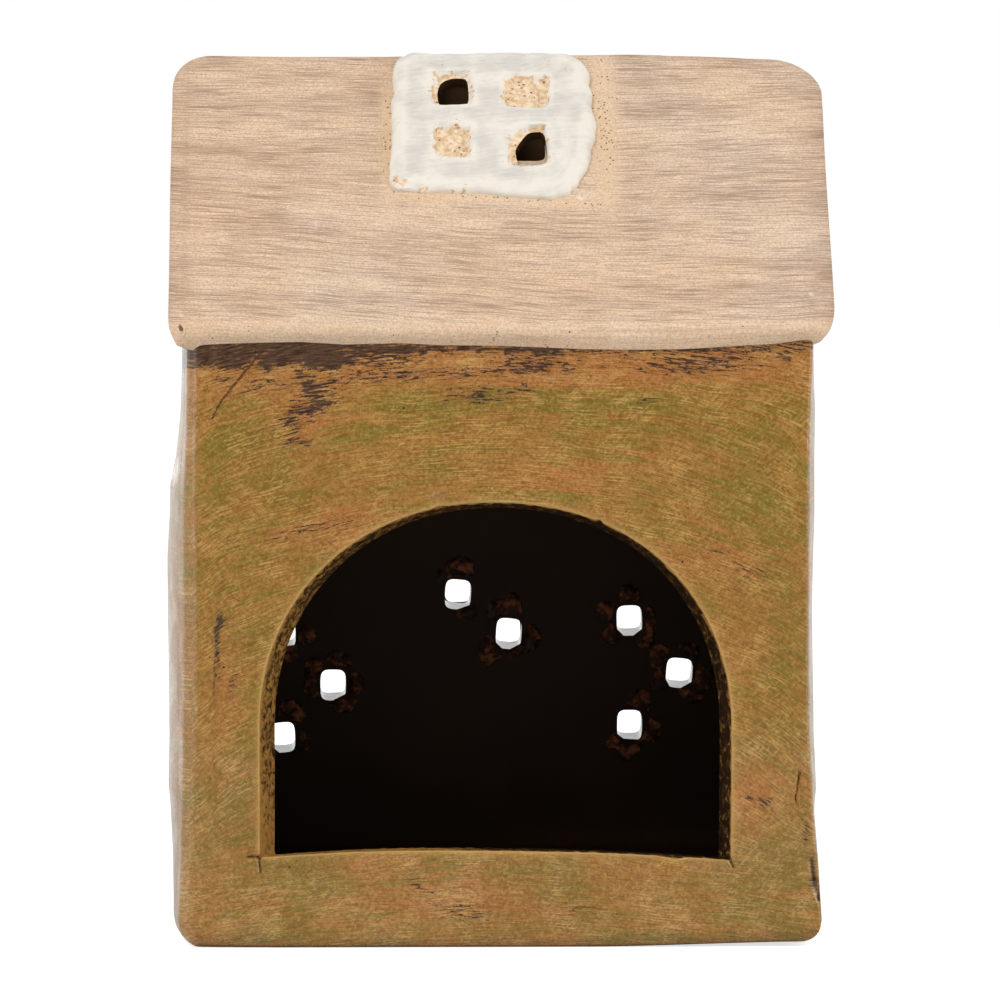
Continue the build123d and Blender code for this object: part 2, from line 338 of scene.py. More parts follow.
# Brushed earthenware glaze: olive and ochre strokes over each other with pale hairs, satin, with pits,
# orange where it is rubbed and broken dark streaks where it is worn to the body
def makeWallGlaze():
    material, tree, shader = newMaterial("brushedEarthenwareGlaze")
    place = add(tree, "TexCoord", out="Object")
    stroke = wanderingStroke(tree, place, 0.012, 2.0, (2.0, 1.6, 0.0))
    dark, green, rust, edge, score = (
        add(tree, "Attribute", out="Fac", attribute_name=name) for name in ("dark", "green", "rust", "edge", "score")
    )
    drift, gather, grain, pool = (
        add(tree, "TexNoise", {"Vector": place, "Scale": 1 / size, "Detail": detail, "Roughness": roughness})
        for size, detail, roughness in ((0.012, 4, 0.62), (0.0045, 3, 0.6), (0.0004, 3, 0.75), (0.022, 2, 0.5))
    )
    gather = add(tree, "MapRange", {0: gather, 1: 0.42, 2: 0.62, 3: 0.1, 4: 1.0})
    kinds = [((0, 0, 0), 13, 1.5, 6, 0.68), ((31, 17, 0), 11, 1.0, 5, 0.7)]
    kinds += [((0, 0, 0), 3.6, 0.2, 3, 0.7), ((0, 0, 0), 2.0, 0.3, 4, 0.72)]
    band, streak, hair, flake = brushMarks(tree, stroke, kinds)
    crossed = []
    for turn in (0.75, -0.6):  # short hairs brushed across the strokes, up to the right and up to the left
        tilted = add(tree, "VectorRotate", {"Vector": place, "Axis": (0, 1, 0), "Angle": turn})
        tilted = add(tree, "Mapping", {"Vector": tilted, "Scale": (1 / 0.0022, 1 / 0.006, 1 / 0.00022)})
        crossed.append(add(tree, "TexNoise", {"Vector": tilted, "Scale": 1.0, "Detail": 2.0, "Roughness": 0.6}))
    olive = add(tree, "Math", {0: green, 1: 0.4, 2: band}, operation="MULTIPLY_ADD")
    olive = add(tree, "Math", {0: drift, 1: 0.9, 2: olive}, operation="MULTIPLY_ADD")
    rusty = add(tree, "Math", {0: rust, 1: 0.5, 2: streak}, operation="MULTIPLY_ADD")
    score = add(tree, "Math", {0: score}, operation="ABSOLUTE")  # distance from a cut, in its widths
    score = add(tree, "Math", {0: grain, 1: 2.2, 2: score}, operation="MULTIPLY_ADD")
    pale, dim = "#c39a56", "#7a521c"  # hairs
    colour = layColours(tree, linear("#a57539"), [
        (olive, 0.82, 1.16, 1.0, smooth, None, "#7b7028"),
        (rusty, 0.5, 0.7, 0.85, smooth, None, "#b3713d"),
        (band, 0.5, 0.62, 0.8, straight, rust, "#cb9862"),
        (pool, 0.4, 0.62, 0.3, straight, None, "#86601f"),
        (hair, 0.51, 0.61, 0.95, smooth, gather, pale),
        (hair, 0.48, 0.39, 0.7, smooth, None, dim),
        (crossed[0], 0.55, 0.64, 0.6, smooth, gather, pale),
        (crossed[1], 0.55, 0.66, 0.45, smooth, None, dim),
        (grain, 0.5, 0.36, 0.6, smooth, None, "#744c1a"),
        (grain, 0.54, 0.66, 0.45, smooth, None, pale),
        (score, 1.9, 1.4, 0.85, straight, None, "#4a2c18"),
    ])
    # wear: where the field is strong, the crests of short streaks and small grains go dark
    worn = add(tree, "Math", {0: flake, 1: 2.25, 2: grain}, operation="MULTIPLY_ADD")
    worn = add(tree, "Math", {0: dark, 1: 0.95, 2: worn}, operation="MULTIPLY_ADD")
    worn = add(tree, "MapRange", {0: worn, 1: 2.01, 2: 2.08, 3: 0.0, 4: 0.95}, interpolation_type=smooth)
    near = add(tree, "MapRange", {0: dark, 1: 0.03, 2: 0.14, 3: 0.0, 4: 1.0})
    worn = add(tree, "Math", {0: worn, 1: near}, operation="MULTIPLY")
    body = layColours(tree, linear("#2e1e16"), [(flake, 0.6, 0.42, 1.0, straight, None, "#58402f")])
    cells = add(tree, "TexVoronoi", {"Vector": place, "Scale": 1 / 0.0022})
    lot = add(tree, "SeparateColor", {0: cells.node.outputs["Color"]})
    lot = add(tree, "Math", {0: lot, 1: 0.1}, operation="LESS_THAN")  # one cell in ten has a black pit
    colour = layColours(tree, colour, [
        (worn, 0.0, 1.0, 1.0, straight, None, body),
        (cells, 0.085, 0.05, 1.0, straight, lot, "#20140c"),
        (edge, 0.0, 1.0, 0.85, straight, None, "#cba261"),
    ])
    rough = add(tree, "MapRange", {0: hair, 1: 0.3, 2: 0.7, 3: 0.14, 4: 0.3})
    tree.links.new(rough, shader.inputs["Roughness"])
    sheen = add(tree, "MapRange", {0: gather, 1: 0.2, 2: 0.9, 3: 0.1, 4: 0.5})
    whole = add(tree, "Math", {0: 1.0, 1: worn}, operation="SUBTRACT")
    sheen = add(tree, "Math", {0: sheen, 1: whole}, operation="MULTIPLY")
    tree.links.new(sheen, shader.inputs["Coat Weight"])
    relief = band
    for value, share in ((hair, 0.6), (grain, 0.4), (worn, -0.7)):
        relief = add(tree, "Math", {0: value, 1: share, 2: relief}, operation="MULTIPLY_ADD")
    dress(tree, shader, colour, relief, 0.3, 0.0002, {"Specular IOR Level": 0.4, "Coat Roughness": 0.07})
    return material


# Dark brown glaze inside the chamber and, wetter, in the punched holes: nearly black over lumpy clay
def makeDarkGlaze(name, roughness, specular):
    material, tree, shader = newMaterial(name)
    place = add(tree, "TexCoord", out="Object")
    pool, lumps = (
        add(tree, "TexNoise", {"Vector": place, "Scale": 1 / size, "Detail": 3.0}) for size in (0.02, 0.006)
    )
    colour = layColours(tree, linear("#2c1e13"), [(pool, 0.0, 1.0, 1.0, straight, None, "#4a3320")])
    uniform = {"Roughness": roughness, "Specular IOR Level": specular}
    dress(tree, shader, colour, lumps, 0.2, 0.0005, uniform)
    return material


# Knife-cut clay of the opening: torn and pitted, dark in the hollows, ochre rubbed on the high spots
def makeCutClay():
    material, tree, shader = newMaterial("knifeCutClay")
    place = add(tree, "TexCoord", out="Object")
    torn = add(tree, "TexNoise", {"Vector": place, "Scale": 1 / 0.001, "Detail": 6.0, "Roughness": 0.8})
    high = torn
    for name, share in (("edge", 0.3), ("brushed", 0.175)):
        value = add(tree, "Attribute", out="Fac", attribute_name=name)
        high = add(tree, "Math", {0: value, 1: share, 2: high}, operation="MULTIPLY_ADD")
    colour = layColours(tree, linear("#2a190c"), [(high, 0.51, 0.69, 1.0, smooth, None, "#a87a3a")])
    dress(tree, shader, colour, torn, 0.8, 0.0005, {"Roughness": 0.5, "Specular IOR Level": 0.12})
    return material


# Dry-brushed slip on the roof: cream clay under thin taupe strokes along the house, dead matt and gritty
def makeRoofSlip():
    material, tree, shader = newMaterial("dryBrushedRoofSlip")
    place = add(tree, "TexCoord", out="Object")
    stroke = wanderingStroke(tree, place, 0.016, 3.0, (6.0, 1.1, 0.0))
    taupeAndShade, bareClayAndEaveLight, smearAndHighlight, leftCornerShade = (
        add(tree, "Attribute", out="Fac", attribute_name=name) for name in ("taupeAndShade", "bareClayAndEaveLight", "smearAndHighlight", "leftCornerShade")
    )
    drift, grain, tint, chance = (
        add(tree, "TexNoise", {"Vector": place, "Scale": 1 / size, "Detail": detail, "Roughness": roughness})
        for size, detail, roughness in ((0.011, 4, 0.6), (0.0003, 2, 0.7), (0.025, 2, 0.5), (0.0014, 2, 0.5))
    )
    kinds = [((0, 0, 0), 24, 4.5, 4, 0.6), ((0, 0, 0), 22, 0.42, 6, 0.75), ((0, 0, 0), 7, 0.17, 4, 0.75)]
    wash, bristle, hair = brushMarks(tree, stroke, kinds)
    # less taupe where clay is bare, which at the eave is painted light on its face
    covered = add(tree, "Math", {0: 1.0, 1: bareClayAndEaveLight}, operation="SUBTRACT", use_clamp=True)
    for value, share in ((wash, 0.9), (bristle, 0.55), (drift, -0.5)):
        taupeAndShade = add(tree, "Math", {0: value, 1: share, 2: taupeAndShade}, operation="MULTIPLY_ADD")
    taupeAndShade = add(tree, "MapRange", {0: taupeAndShade, 1: 0.38, 2: 0.66, 3: 0.12, 4: 0.76})
    taupeAndShade = add(tree, "Math", {0: taupeAndShade, 1: covered}, operation="MULTIPLY")
    line = add(tree, "Math", {0: taupeAndShade, 1: 0.1, 2: hair}, operation="MULTIPLY_ADD")
    smearAndHighlight, leftCornerShade = (
        add(tree, "Math", {0: grain, 1: 0.8, 2: value}, operation="MULTIPLY_ADD") for value in (smearAndHighlight, leftCornerShade)
    )
    colour = layColours(tree, linear("#f1d8bd"), [
        (drift, 0.44, 0.64, 0.6, smooth, None, "#e9caa6"),
        # taupe strokes, with painted shade on the verges and in the eave's crease, and less of it at the eave as
        # painted light
        (taupeAndShade, 0.0, 1.0, 1.0, straight, None, "#bfa18c"),
        (line, 0.53, 0.66, 1.0, straight, covered, "#a08570"),
        (hair, 0.49, 0.38, 0.75, straight, None, "#f6dfc8"),  # chalky
        (grain, 0.42, 0.64, 0.55, straight, None, "#b09278"),
        # bare clay by the skylight, and painted light on the eave's face
        (bareClayAndEaveLight, 0.0, 1.0, 0.4, straight, None, "#e0bd92"),
        # pale smears, and painted highlights on the eave corners
        (smearAndHighlight, 0.8, 1.1, 0.9, straight, None, "#eee2d2"),
        # painted shade at the left eave corner
        (leftCornerShade, 0.85, 1.05, 0.85, straight, None, "#4a382c"),
    ])
    tint = add(tree, "MapRange", {0: tint, 1: 0.4, 2: 0.6, 3: 0.0, 4: 0.5})
    tinted = {0: tint, 6: colour, 7: linear("#fff1e4")}
    colour = add(tree, "Mix", tinted, out=2, data_type="RGBA", blend_type="MULTIPLY")
    # black specks of iron in the bare clay by the skylight
    cells = add(tree, "TexVoronoi", {"Vector": place, "Scale": 1 / 0.0006})
    chance = add(tree, "Math", {0: bareClayAndEaveLight, 1: 0.4, 2: chance}, operation="MULTIPLY_ADD")
    chance = add(tree, "MapRange", {0: chance, 1: 0.78, 2: 0.86, 3: 0.0, 4: 1.0})
    colour = layColours(tree, colour, [(cells, 0.26, 0.18, 0.9, straight, chance, "#4a3628")])
    relief = bristle
    for value, share in ((grain, 0.7), (hair, 0.6)):
        relief = add(tree, "Math", {0: value, 1: share, 2: relief}, operation="MULTIPLY_ADD")
    dress(tree, shader, colour, relief, 0.6, 0.0003, {"Roughness": 0.85, "Specular IOR Level": 0.2})
    return material


# Thick white slip on the reliefs: brushed, slightly grey in the furrows, tan clay where a pane is bare, and
# lighter along the raised border and round the panes as a painted highlight
def makeWhiteSlip():
    material, tree, shader = newMaterial("thickWhiteSlip")
    place = add(tree, "TexCoord", out="Object")
    stroke = add(tree, "Attribute", out="Vector", attribute_name="stroke")
    clay, rim = (add(tree, "Attribute", out="Fac", attribute_name=name) for name in ("clay", "rim"))
    furrow, hair = brushMarks(tree, stroke, [((0, 0, 0), 8, 0.5, 5, 0.68), ((0, 0, 0), 3, 0.13, 2, 0.6)])
    blot, grain, rag = (
        add(tree, "TexNoise", {"Vector": place, "Scale": 1 / size, "Detail": detail, "Roughness": roughness})
        for size, detail, roughness in ((0.004, 3, 0.6), (0.0008, 3, 0.7), (0.0016, 4, 0.65))
    )
    grey = add(tree, "Math", {0: furrow, 1: 0.6, 2: blot}, operation="MULTIPLY_ADD")
    # the rim lightens the raised border and the panes' surrounds: a painted highlight
    grey = add(tree, "Math", {0: rim, 1: -0.16, 2: grey}, operation="MULTIPLY_ADD")
    grey = add(tree, "MapRange", {0: grey, 1: 0.54, 2: 0.98, 3: 0.0, 4: 1.0}, interpolation_type=smooth)
    cells = add(tree, "TexVoronoi", {"Vector": place, "Scale": 1 / 0.0008})
    chance = add(tree, "MapRange", {0: grain, 1: 0.44, 2: 0.5, 3: 0.0, 4: 1.0})
    tan = layColours(tree, linear("#ecd6b8"), [
        (grain, 0.4, 0.62, 1.0, straight, None, "#cfa97e"),
        (cells, 0.22, 0.15, 0.9, straight, chance, "#3c2c20"),
    ])
    torn = add(tree, "Math", {0: rag, 1: 2.4, 2: clay}, operation="MULTIPLY_ADD")
    colour = layColours(tree, linear("#e5ded2"), [
        (grey, 0.0, 1.0, 1.0, straight, None, "#cfc9c1"),
        (hair, 0.58, 0.7, 0.6, straight, grey, "#a39d98"),
        (torn, 1.62, 1.72, 1.0, straight, None, tan),
    ])
    relief = add(tree, "Math", {0: grain, 1: 0.3, 2: furrow}, operation="MULTIPLY_ADD")
    dress(tree, shader, colour, relief, 0.16, 0.0004, {"Roughness": 0.5, "Specular IOR Level": 0.3})
    return material


# Rust-brown torn clay of the punched panes' burrs, half glazed
def makeBurrClay():
    material, tree, shader = newMaterial("tornBurrClay")
    place = add(tree, "TexCoord", out="Object")
    torn = add(tree, "TexNoise", {"Vector": place, "Scale": 1 / 0.0016, "Detail": 5.0, "Roughness": 0.7})
    torn = add(tree, "MapRange", {0: torn, 1: 0.44, 2: 0.6, 3: 0.0, 4: 1.0}, interpolation_type=smooth)
    colour = layColours(tree, linear("#3a2114"), [(torn, 0.0, 1.0, 1.0, straight, None, "#a5623a")])
    dress(tree, shader, colour, torn, 0.7, 0.0004, {"Roughness": 0.55})
    return material


# Dark brown glaze brushed on the door, thin enough to show the clay on its edges
def makeDoorGlaze():
    material, tree, shader = newMaterial("brownDoorGlaze")
    stroke = add(tree, "Attribute", out="Vector", attribute_name="stroke")
    thin = add(tree, "Mapping", {"Vector": stroke, "Scale": (1 / 0.5, 1.0, 1 / 9)})
    bristle = add(tree, "TexNoise", {"Vector": thin, "Scale": 1.0, "Detail": 4.0, "Roughness": 0.6})
    colour = layColours(tree, linear("#3a2415"), [(bristle, 0.45, 0.7, 0.7, smooth, None, "#7a4f28")])
    dress(tree, shader, colour, bristle, 0.4, 0.0002, {"Roughness": 0.38})
    return material


wallGlaze = makeWallGlaze()
chamberGlaze = makeDarkGlaze("darkChamberGlaze", 0.45, 0.1)
wetGlaze = makeDarkGlaze("wetHoleGlaze", 0.16, 0.6)
cutClay = makeCutClay()
roofSlip = makeRoofSlip()
whiteSlip = makeWhiteSlip()
burrClay = makeBurrClay()
doorGlaze = makeDoorGlaze()
print("materials ready:", len(bpy.data.materials))

# Wear of the walls, seen on the rear face: x, z, half length, half width, turn in degrees, strength
wear = {
    "dark": [
        (-26.6, 77.2, 3.6, 1.3, 122, 0.46),
        (-24.8, 75.2, 4.4, 1.0, 14, 0.42),
        (-25.4, 73.0, 4.6, 0.9, 16, 0.48),
        (-27.6, 70.8, 4.6, 1.2, 24, 0.48),
        (-27.4, 68.2, 2.8, 0.7, 10, 0.48),
        (-37.0, 76.6, 4.4, 0.7, 4, 0.4),
        (-34.4, 75.2, 4.8, 0.6, 5, 0.37),
        (-30.6, 76.4, 3.0, 0.6, 2, 0.38),
        (-16.0, 79.4, 7.0, 2.4, 4, 0.5),
        (-8.0, 77.2, 14.0, 0.8, 3, 0.4),
        (-2.8, 74.4, 5.4, 1.7, 4, 0.47),
        (4.8, 78.9, 5.6, 1.8, 0, 0.48),
        (26.5, 78.6, 9.8, 1.8, 2, 0.52),
        (5.0, 80.7, 44.0, 0.7, 0, 0.54),
        (38.2, 79.3, 1.5, 0.4, -12, 0.55),
        (4.0, 75.2, 2.5, 0.4, 0, 0.44),
        (19.7, 73.6, 2.4, 0.45, 3, 0.5),
        (-25.1, 56.7, 7.0, 1.1, 12, 0.36),
        (-38.9, 39.2, 7.4, 1.1, 84, 0.5),
        (-38.2, 43.6, 1.6, 0.8, 60, 0.5),
        (-36.2, 35.2, 1.8, 0.7, 80, 0.46),
        (32.3, 51.1, 5.2, 1.0, -8, 0.34),
        (28.8, 53.6, 1.4, 0.5, 0, 0.42),
        (-11.3, 8.6, 1.9, 1.0, -35, 0.46),
        (-5.3, 5.0, 5.6, 1.3, -8, 0.38),
        (10.4, 5.2, 3.0, 1.1, -10, 0.36),
        (33.4, 20.2, 1.6, 0.8, -15, 0.44),
        (35.6, 19.6, 1.2, 0.7, 20, 0.44),
        (41.4, 15.4, 3.6, 0.7, 86, 0.46),
        (41.9, 9.4, 3.0, 0.6, 84, 0.4),
    ],
    "scraped": [(-33.6, 78.4, 2.8, 0.7, 48, 0.5), (-29.5, 77.6, 2.2, 0.5, 40, 0.3)],  # out of the brown band
    "thinBand": (79.2, 80.6, 0.42),  # under the eave: heights where it sets in and is full, and strength
    "deepBand": (76.6, 79.1, 0.82),
    "deepFrom": (-14, -24),  # x between which it goes from thin to deep
    "cornerLine": (-42.8, 0.5, 0.12),  # down the left corner: x, width and strength
    "green": [
        (-38.4, 66.0, 9.0, 3.6, 88, 0.48),
        (13.0, 72.5, 14.0, 2.6, -4, 0.4),
        (-11.7, 71.2, 7.0, 2.4, 6, 0.35),
        (33.8, 60.8, 8.0, 4.0, -25, 0.45),
        (38.0, 74.0, 3.0, 4.0, 0, 0.5),
        (37.0, 10.3, 6.0, 4.0, 60, 0.4),
        (-20.0, 8.9, 10.0, 2.0, 0, 0.3),
        (-34.5, 22.2, 9.0, 1.6, 88, 0.35),
        (37.0, 40.0, 14.0, 2.0, 88, 0.3),
    ],
    "rust": [
        (0.0, 78.3, 120.0, 2.4, 0, 0.85),
        (-36.0, 75.6, 7.0, 1.6, 3, 0.5),
        (8.0, 63.8, 7.0, 2.4, 0, 0.4),
        (-23.6, 56.8, 8.0, 2.6, 12, 0.5),
        (-27.0, 71.7, 4.0, 4.0, 70, 0.5),
        (30.0, 51.9, 9.0, 2.6, -5, 0.45),
        (-4.0, 6.4, 10.0, 3.0, 0, 0.45),
        (34.0, 20.3, 4.0, 3.0, 0, 0.5),
        (-37.6, 33.0, 8.0, 2.0, 85, 0.35),
    ],
}


farOff = 9.0  # a distance from cuts and edges at which nothing of them shows

brush = {
    "sweep": (-2.0, -40.0),  # x and z of the point under the house that the strokes run round
    "level": ((16, 7), (64, 76)),  # heights where they turn level, towards the foot and towards the eave
    "sideTilt": (0.3, 0.2),  # of the strokes on the side walls, along and up
}


def wallFields(points, edge=None):
    # brush coordinates and wear of the outer glaze. The brush swept over the opening, so on the long walls
    # the strokes run round a point under the house; on the side walls they run along, rising a little
    x, y, z = points[..., 0], points[..., 1], points[..., 2]
    aside, above = x - brush["sweep"][0], z - brush["sweep"][1]
    turned = np.stack([np.arctan2(aside, above) * 100, np.hypot(aside, above), y * 0], -1)
    level = np.maximum(*(soft(*heights, z) for heights in brush["level"]))[..., None]
    long = turned * (1 - level) + np.stack([x, above + x * x / 500, y * 0], -1) * level
    rise, lean = brush["sideTilt"]
    short = np.stack([y + rise * z, z - lean * y, x * 0], -1)
    inside = house["front"] - house["wall"]
    onSide = (1 - soft(inside - 0.5, inside + 0.5, np.abs(y)))[..., None]
    stroke = long * (1 - onSide) + short * onSide
    onRear = 1 - soft(house["rear"] + 2, house["rear"] + 6, y)
    fields = {"stroke": stroke}
    for name in ("dark", "green", "rust"):
        fields[name] = spread(x, z, wear[name]) * onRear
    # brown band under the eave, deep on the left and thinning to the right; it covers both gables
    deep = np.maximum(soft(*wear["deepFrom"], x), 0.9 * onSide[..., 0])
    low, full, strong = (a + (b - a) * deep for a, b in zip(wear["thinBand"], wear["deepBand"]))
    band = strong * soft(low, full, z + 0.4 * waves(points, 7, 5))
    dark = np.maximum(fields["dark"], band) - onRear * spread(x, z, wear["scraped"])
    lineX, width, strength = wear["cornerLine"]
    line = strength * np.exp(-(((x - lineX) / width) ** 2)) * onRear * soft(10, 20, z)
    fields["dark"] = np.maximum(dark, line)
    fields["edge"] = np.zeros(x.shape) if edge is None else edge
    fields["score"] = np.full(x.shape, farOff)
    return fields


arch = {
    "left": -32.5,
    "right": 30.9,
    "crown": 59.85,
    "spring": 29.7,
    "power": 2.15,
    "sill": (12.3, 13.2, 11.8),  # height at the left, in the middle and at the right
    "bevelLeft": 2.0,  # the knife leaned, so the opening narrows inwards
    "bevelRight": 1.4,
    "bevelTop": 0.9,
    "edgeRound": 0.3,
    "pole": (-0.8, 34.0),  # the wall is worked out in rays from here
    "chips": [(-8.5, 59.9, 0.9, 0.5), (13.2, 57.5, 0.5, 0.35), (23.1, 12.6, 1.3, 0.55)],  # x, z, size, depth
    "overcuts": [  # from x, z, to x, z, and width
        (-32.5, 12.35, -34.1, 12.4, 0.24),
        (-32.6, 12.2, -32.4, 10.3, 0.24),
        (30.8, 11.9, 31.2, 10.9, 0.28),
        (40.9, 23.6, 39.9, 19.4, 0.28),
        (41.8, 11.8, 42.1, 9.0, 0.4),
        (42.1, 9.0, 42.6, 6.4, 0.7),
    ],
    "scratch": ((-32.1, -35.8, -39.6), (80.2, 75.8, 71.0), 0.3),  # x and z along it, and width
    "rubWidth": 0.3,  # of the rubbed glaze along the cut
    "grooveDepth": 0.4,
    "tears": ((0.11, 1.5, 21), (0.07, 0.8, 22)),  # in the cut face: height, length and seed
    "borderRows": 14,  # of the mesh round the section, with those of the inner and of the cut face
    "innerRows": 10,
    "cutRows": 15,
}


def archOutline(depth):
    # cut edge of the opening: bowed sill, straight jambs and a superellipse crown; depth 0 is the rear face
    left = arch["left"] + arch["bevelLeft"] * depth
    right = arch["right"] - arch["bevelRight"] * depth
    crown = arch["crown"] - arch["bevelTop"] * depth
    middle, half = (left + right) / 2, (right - left) / 2
    turn = np.linspace(0, np.pi, 241)
    power = 2 / arch["power"]
    crownX = middle + half * np.sign(np.cos(turn)) * np.abs(np.cos(turn)) ** power
    crownZ = arch["spring"] + (crown - arch["spring"]) * np.sin(turn).clip(0) ** power
    sillX = np.linspace(left, right, 81)
    low, bow, high = arch["sill"]
    share = (sillX - left) / (right - left)
    sillZ = low + (high - low) * share + (bow - (low + high) / 2) * 4 * share * (1 - share)
    jambs = [np.linspace(foot, arch["spring"], 60)[1:-1] for foot in (high, low)]
    count = len(jambs[0])
    x = np.concatenate([sillX, np.full(count, right), crownX, np.full(count, left)])
    z = np.concatenate([sillZ, jambs[0], crownZ, jambs[1][::-1]])
    return x, z


def wallOutline():
    # border of the long walls: straight foot, leaning sides and a straight head under the roof
    low, high = house["rim"], house["head"]
    count = 160  # points along each edge
    z = np.linspace(low, high, count)
    foot, head = (np.linspace(sideX(-1, at), sideX(1, at), count) for at in (low, high))
    xs = np.concatenate([foot, sideX(1, z), head[::-1], sideX(-1, z[::-1])])
    zs = np.concatenate([np.full(count, low), z, np.full(count, high), z[::-1]])
    return xs, zs


def alongRays(outline, rays):
    # distance from the pole to an outline along each ray
    x, z = outline[0] - arch["pole"][0], outline[1] - arch["pole"][1]
    angle, order = np.unique(np.arctan2(z, x), return_index=True)
    return np.interp(rays, angle, np.hypot(x, z)[order], period=2 * np.pi)


def makeRearWall():
    # a ring: rays from the pole one way, and the other way round the section, which is the rear face from
    # the opening to the border, the border's thickness, the inner face back, and the cut face of the opening
    pole = arch["pole"]
    low, high = house["rim"], house["head"]
    corners = [(sideX(side, z), z) for side in (-1, 1) for z in (low, high)]
    corners += [(arch["left"], arch["sill"][0]), (arch["right"], arch["sill"][2])]
    marks = [math.atan2(z - pole[1], x - pole[0]) for x, z in corners]
    close = [mark + np.linspace(-0.09, 0.09, 61) for mark in marks[4:]]
    rays = np.unique(np.concatenate([np.linspace(-np.pi, np.pi, 640, endpoint=False), marks, *close]).round(6))
    outerCut, innerCut = alongRays(archOutline(0), rays), alongRays(archOutline(1), rays)
    edge = alongRays(wallOutline(), rays)
    ways = np.stack([np.cos(rays), np.sin(rays)], -1)
    face = np.concatenate([0.8 * np.linspace(0, 1, 44) ** 1.6, np.linspace(0.8, 1, 22)[1:]])
    rows, depths, away = [], [], []
    r = arch["edgeRound"]
    for t in face:  # rear face, with the edge of the cut slightly rounded
        rows.append(outerCut + (edge - outerCut) * t)
        away.append(rows[-1] - outerCut)
        depths.append(roundOff(away[-1], r))
    for t in np.linspace(0, 1, arch["borderRows"] + 2)[1:-1]:  # thickness of the border
        rows.append(edge)
        depths.append(np.full(len(rays), t * house["wall"]))
        away.append(edge - outerCut)
    for t in np.linspace(1, 0, arch["innerRows"]) ** 1.4:  # inner face
        rows.append(innerCut + (edge - innerCut) * t)
        depths.append(np.full(len(rays), house["wall"]))
        away.append(np.full(len(rays), farOff))
    for t in np.linspace(1, 0, arch["cutRows"] + 1)[1:]:  # cut face
        rows.append(outerCut + (innerCut - outerCut) * t)
        depths.append(np.full(len(rays), r + (house["wall"] - r) * t))
        away.append(np.full(len(rays), (house["wall"] - r) * t))
    reach, depth, away = np.stack(rows), np.stack(depths), np.stack(away)
    x, z = pole[0] + reach * ways[:, 0], pole[1] + reach * ways[:, 1]
    points = np.stack([x, house["rear"] + depth, z], -1)
    outside = len(face) + arch["borderRows"]
    tags = np.repeat([0, 1, 2], [outside, arch["innerRows"], arch["cutRows"]])
    torn = sum(size * waves(points, length, seed) for size, length, seed in arch["tears"]) * (tags == 2)[:, None]
    points[..., 0] += torn * ways[:, 0]
    points[..., 2] += torn * ways[:, 1]
    for cx, cz, size, deep in arch["chips"]:
        apart = np.hypot(points[..., 0] - cx, points[..., 2] - cz)
        chip = deep * np.exp(-((apart / size) ** 2) - ((points[..., 1] - house["rear"]) / 1.5) ** 2)
        points[..., 0] += chip * ways[:, 0]
        points[..., 2] += chip * ways[:, 1]
        points[..., 1] += chip * 0.7
    fields = wallFields(points, np.exp(-away / arch["rubWidth"]))
    x, z = points[..., 0], points[..., 2]
    # glaze was brushed into the left of the opening, less of it higher up
    fields["brushed"] = soft(4, -14, x) * (1.0 - 0.4 * soft(17, 26, z) - 0.3 * soft(36, 54, z))
    onRear = (tags == 0)[:, None]
    for x0, z0, x1, z1, width in arch["overcuts"]:
        span = np.array([x1 - x0, z1 - z0])
        share = (((x - x0) * span[0] + (z - z0) * span[1]) / (span @ span)).clip(0, 1)
        apart = np.hypot(x - x0 - share * span[0], z - z0 - share * span[1])
        apart = apart / (width * (1.1 - 0.5 * share))
        groove = np.exp(-(apart**2)) * onRear
        points[..., 1] += arch["grooveDepth"] * groove
        fields["score"] = np.minimum(fields["score"], np.where(onRear, apart, farOff))
        fields["edge"] = fields["edge"] * (1 - groove)
    lineX, lineZ, width = arch["scratch"]
    apart = (x - np.polyval(np.polyfit(lineZ, lineX, 2), z)) * 0.75 / width  # signed, and square to the line
    apart = np.where((z > lineZ[2]) & onRear, apart, farOff)
    fields["score"] = np.where(np.abs(apart) < fields["score"], apart, fields["score"])
    points = roundCorners(points)
    i = np.arange(reach.size).reshape(reach.shape)
    j, k = np.roll(i, -1, 0), np.roll(i, -1, 1)
    quads = np.stack([i, j, np.roll(j, -1, 1), k], -1).reshape(-1, 4)
    paint = np.maximum(tags, np.roll(tags, -1))
    paint[outside - 1] = 0  # the border's last strip
    paintOf = np.repeat(paint, len(rays))
    piece = addPiece("rearWall", points, quads, [wallGlaze, chamberGlaze, cutClay], paintOf, fields)
    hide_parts("rear_wall")


makeRearWall()

panes = {
    "half": 1.8,  # of the punched holes
    "flare": 1.2,  # the holes open inwards, most at their lower edge
    "sag": 0.42,
    "left": (-25.5, 31.6, 7.1, 7.35, 2, 3),  # middle x and z, pitch across and up, columns and rows
    "right": (23.4, 33.2, 7.1, 7.4, 2, 3),
    "door": (-0.75, 41.6, 7.0, 5.7, 2, 2),
}


def paneMiddles(x, z, across, up, columns, rows):
    # middle of each pane from the top left as the rear shows it, and whether it is punched through
    column, row = np.meshgrid(np.arange(columns), np.arange(rows))
    column, row = column.ravel(), row.ravel()
    middleX = x + (column - (columns - 1) / 2) * across
    middleZ = z + ((rows - 1) / 2 - row) * up
    return middleX, middleZ, (row + column) % 2 == 0


def punchedHoles():
    # holes of the front wall, each with a fit of its own
    rng = np.random.default_rng(8)
    made = []
    looseness = ((0.96, 1.04), (0.96, 1.06), (-0.1, 0.1), (-0.1, 0.1))
    for name in ("left", "right", "door"):
        x, z, punched = paneMiddles(*panes[name])
        for px, pz in zip(x[punched], z[punched]):
            fit = tuple(rng.uniform(*limits) for limits in looseness)
            made.append({"u": px, "v": pz, "half": panes["half"], "turn": rng.uniform(-0.09, 0.09), "fit": fit})
    return made


holes = punchedHoles()


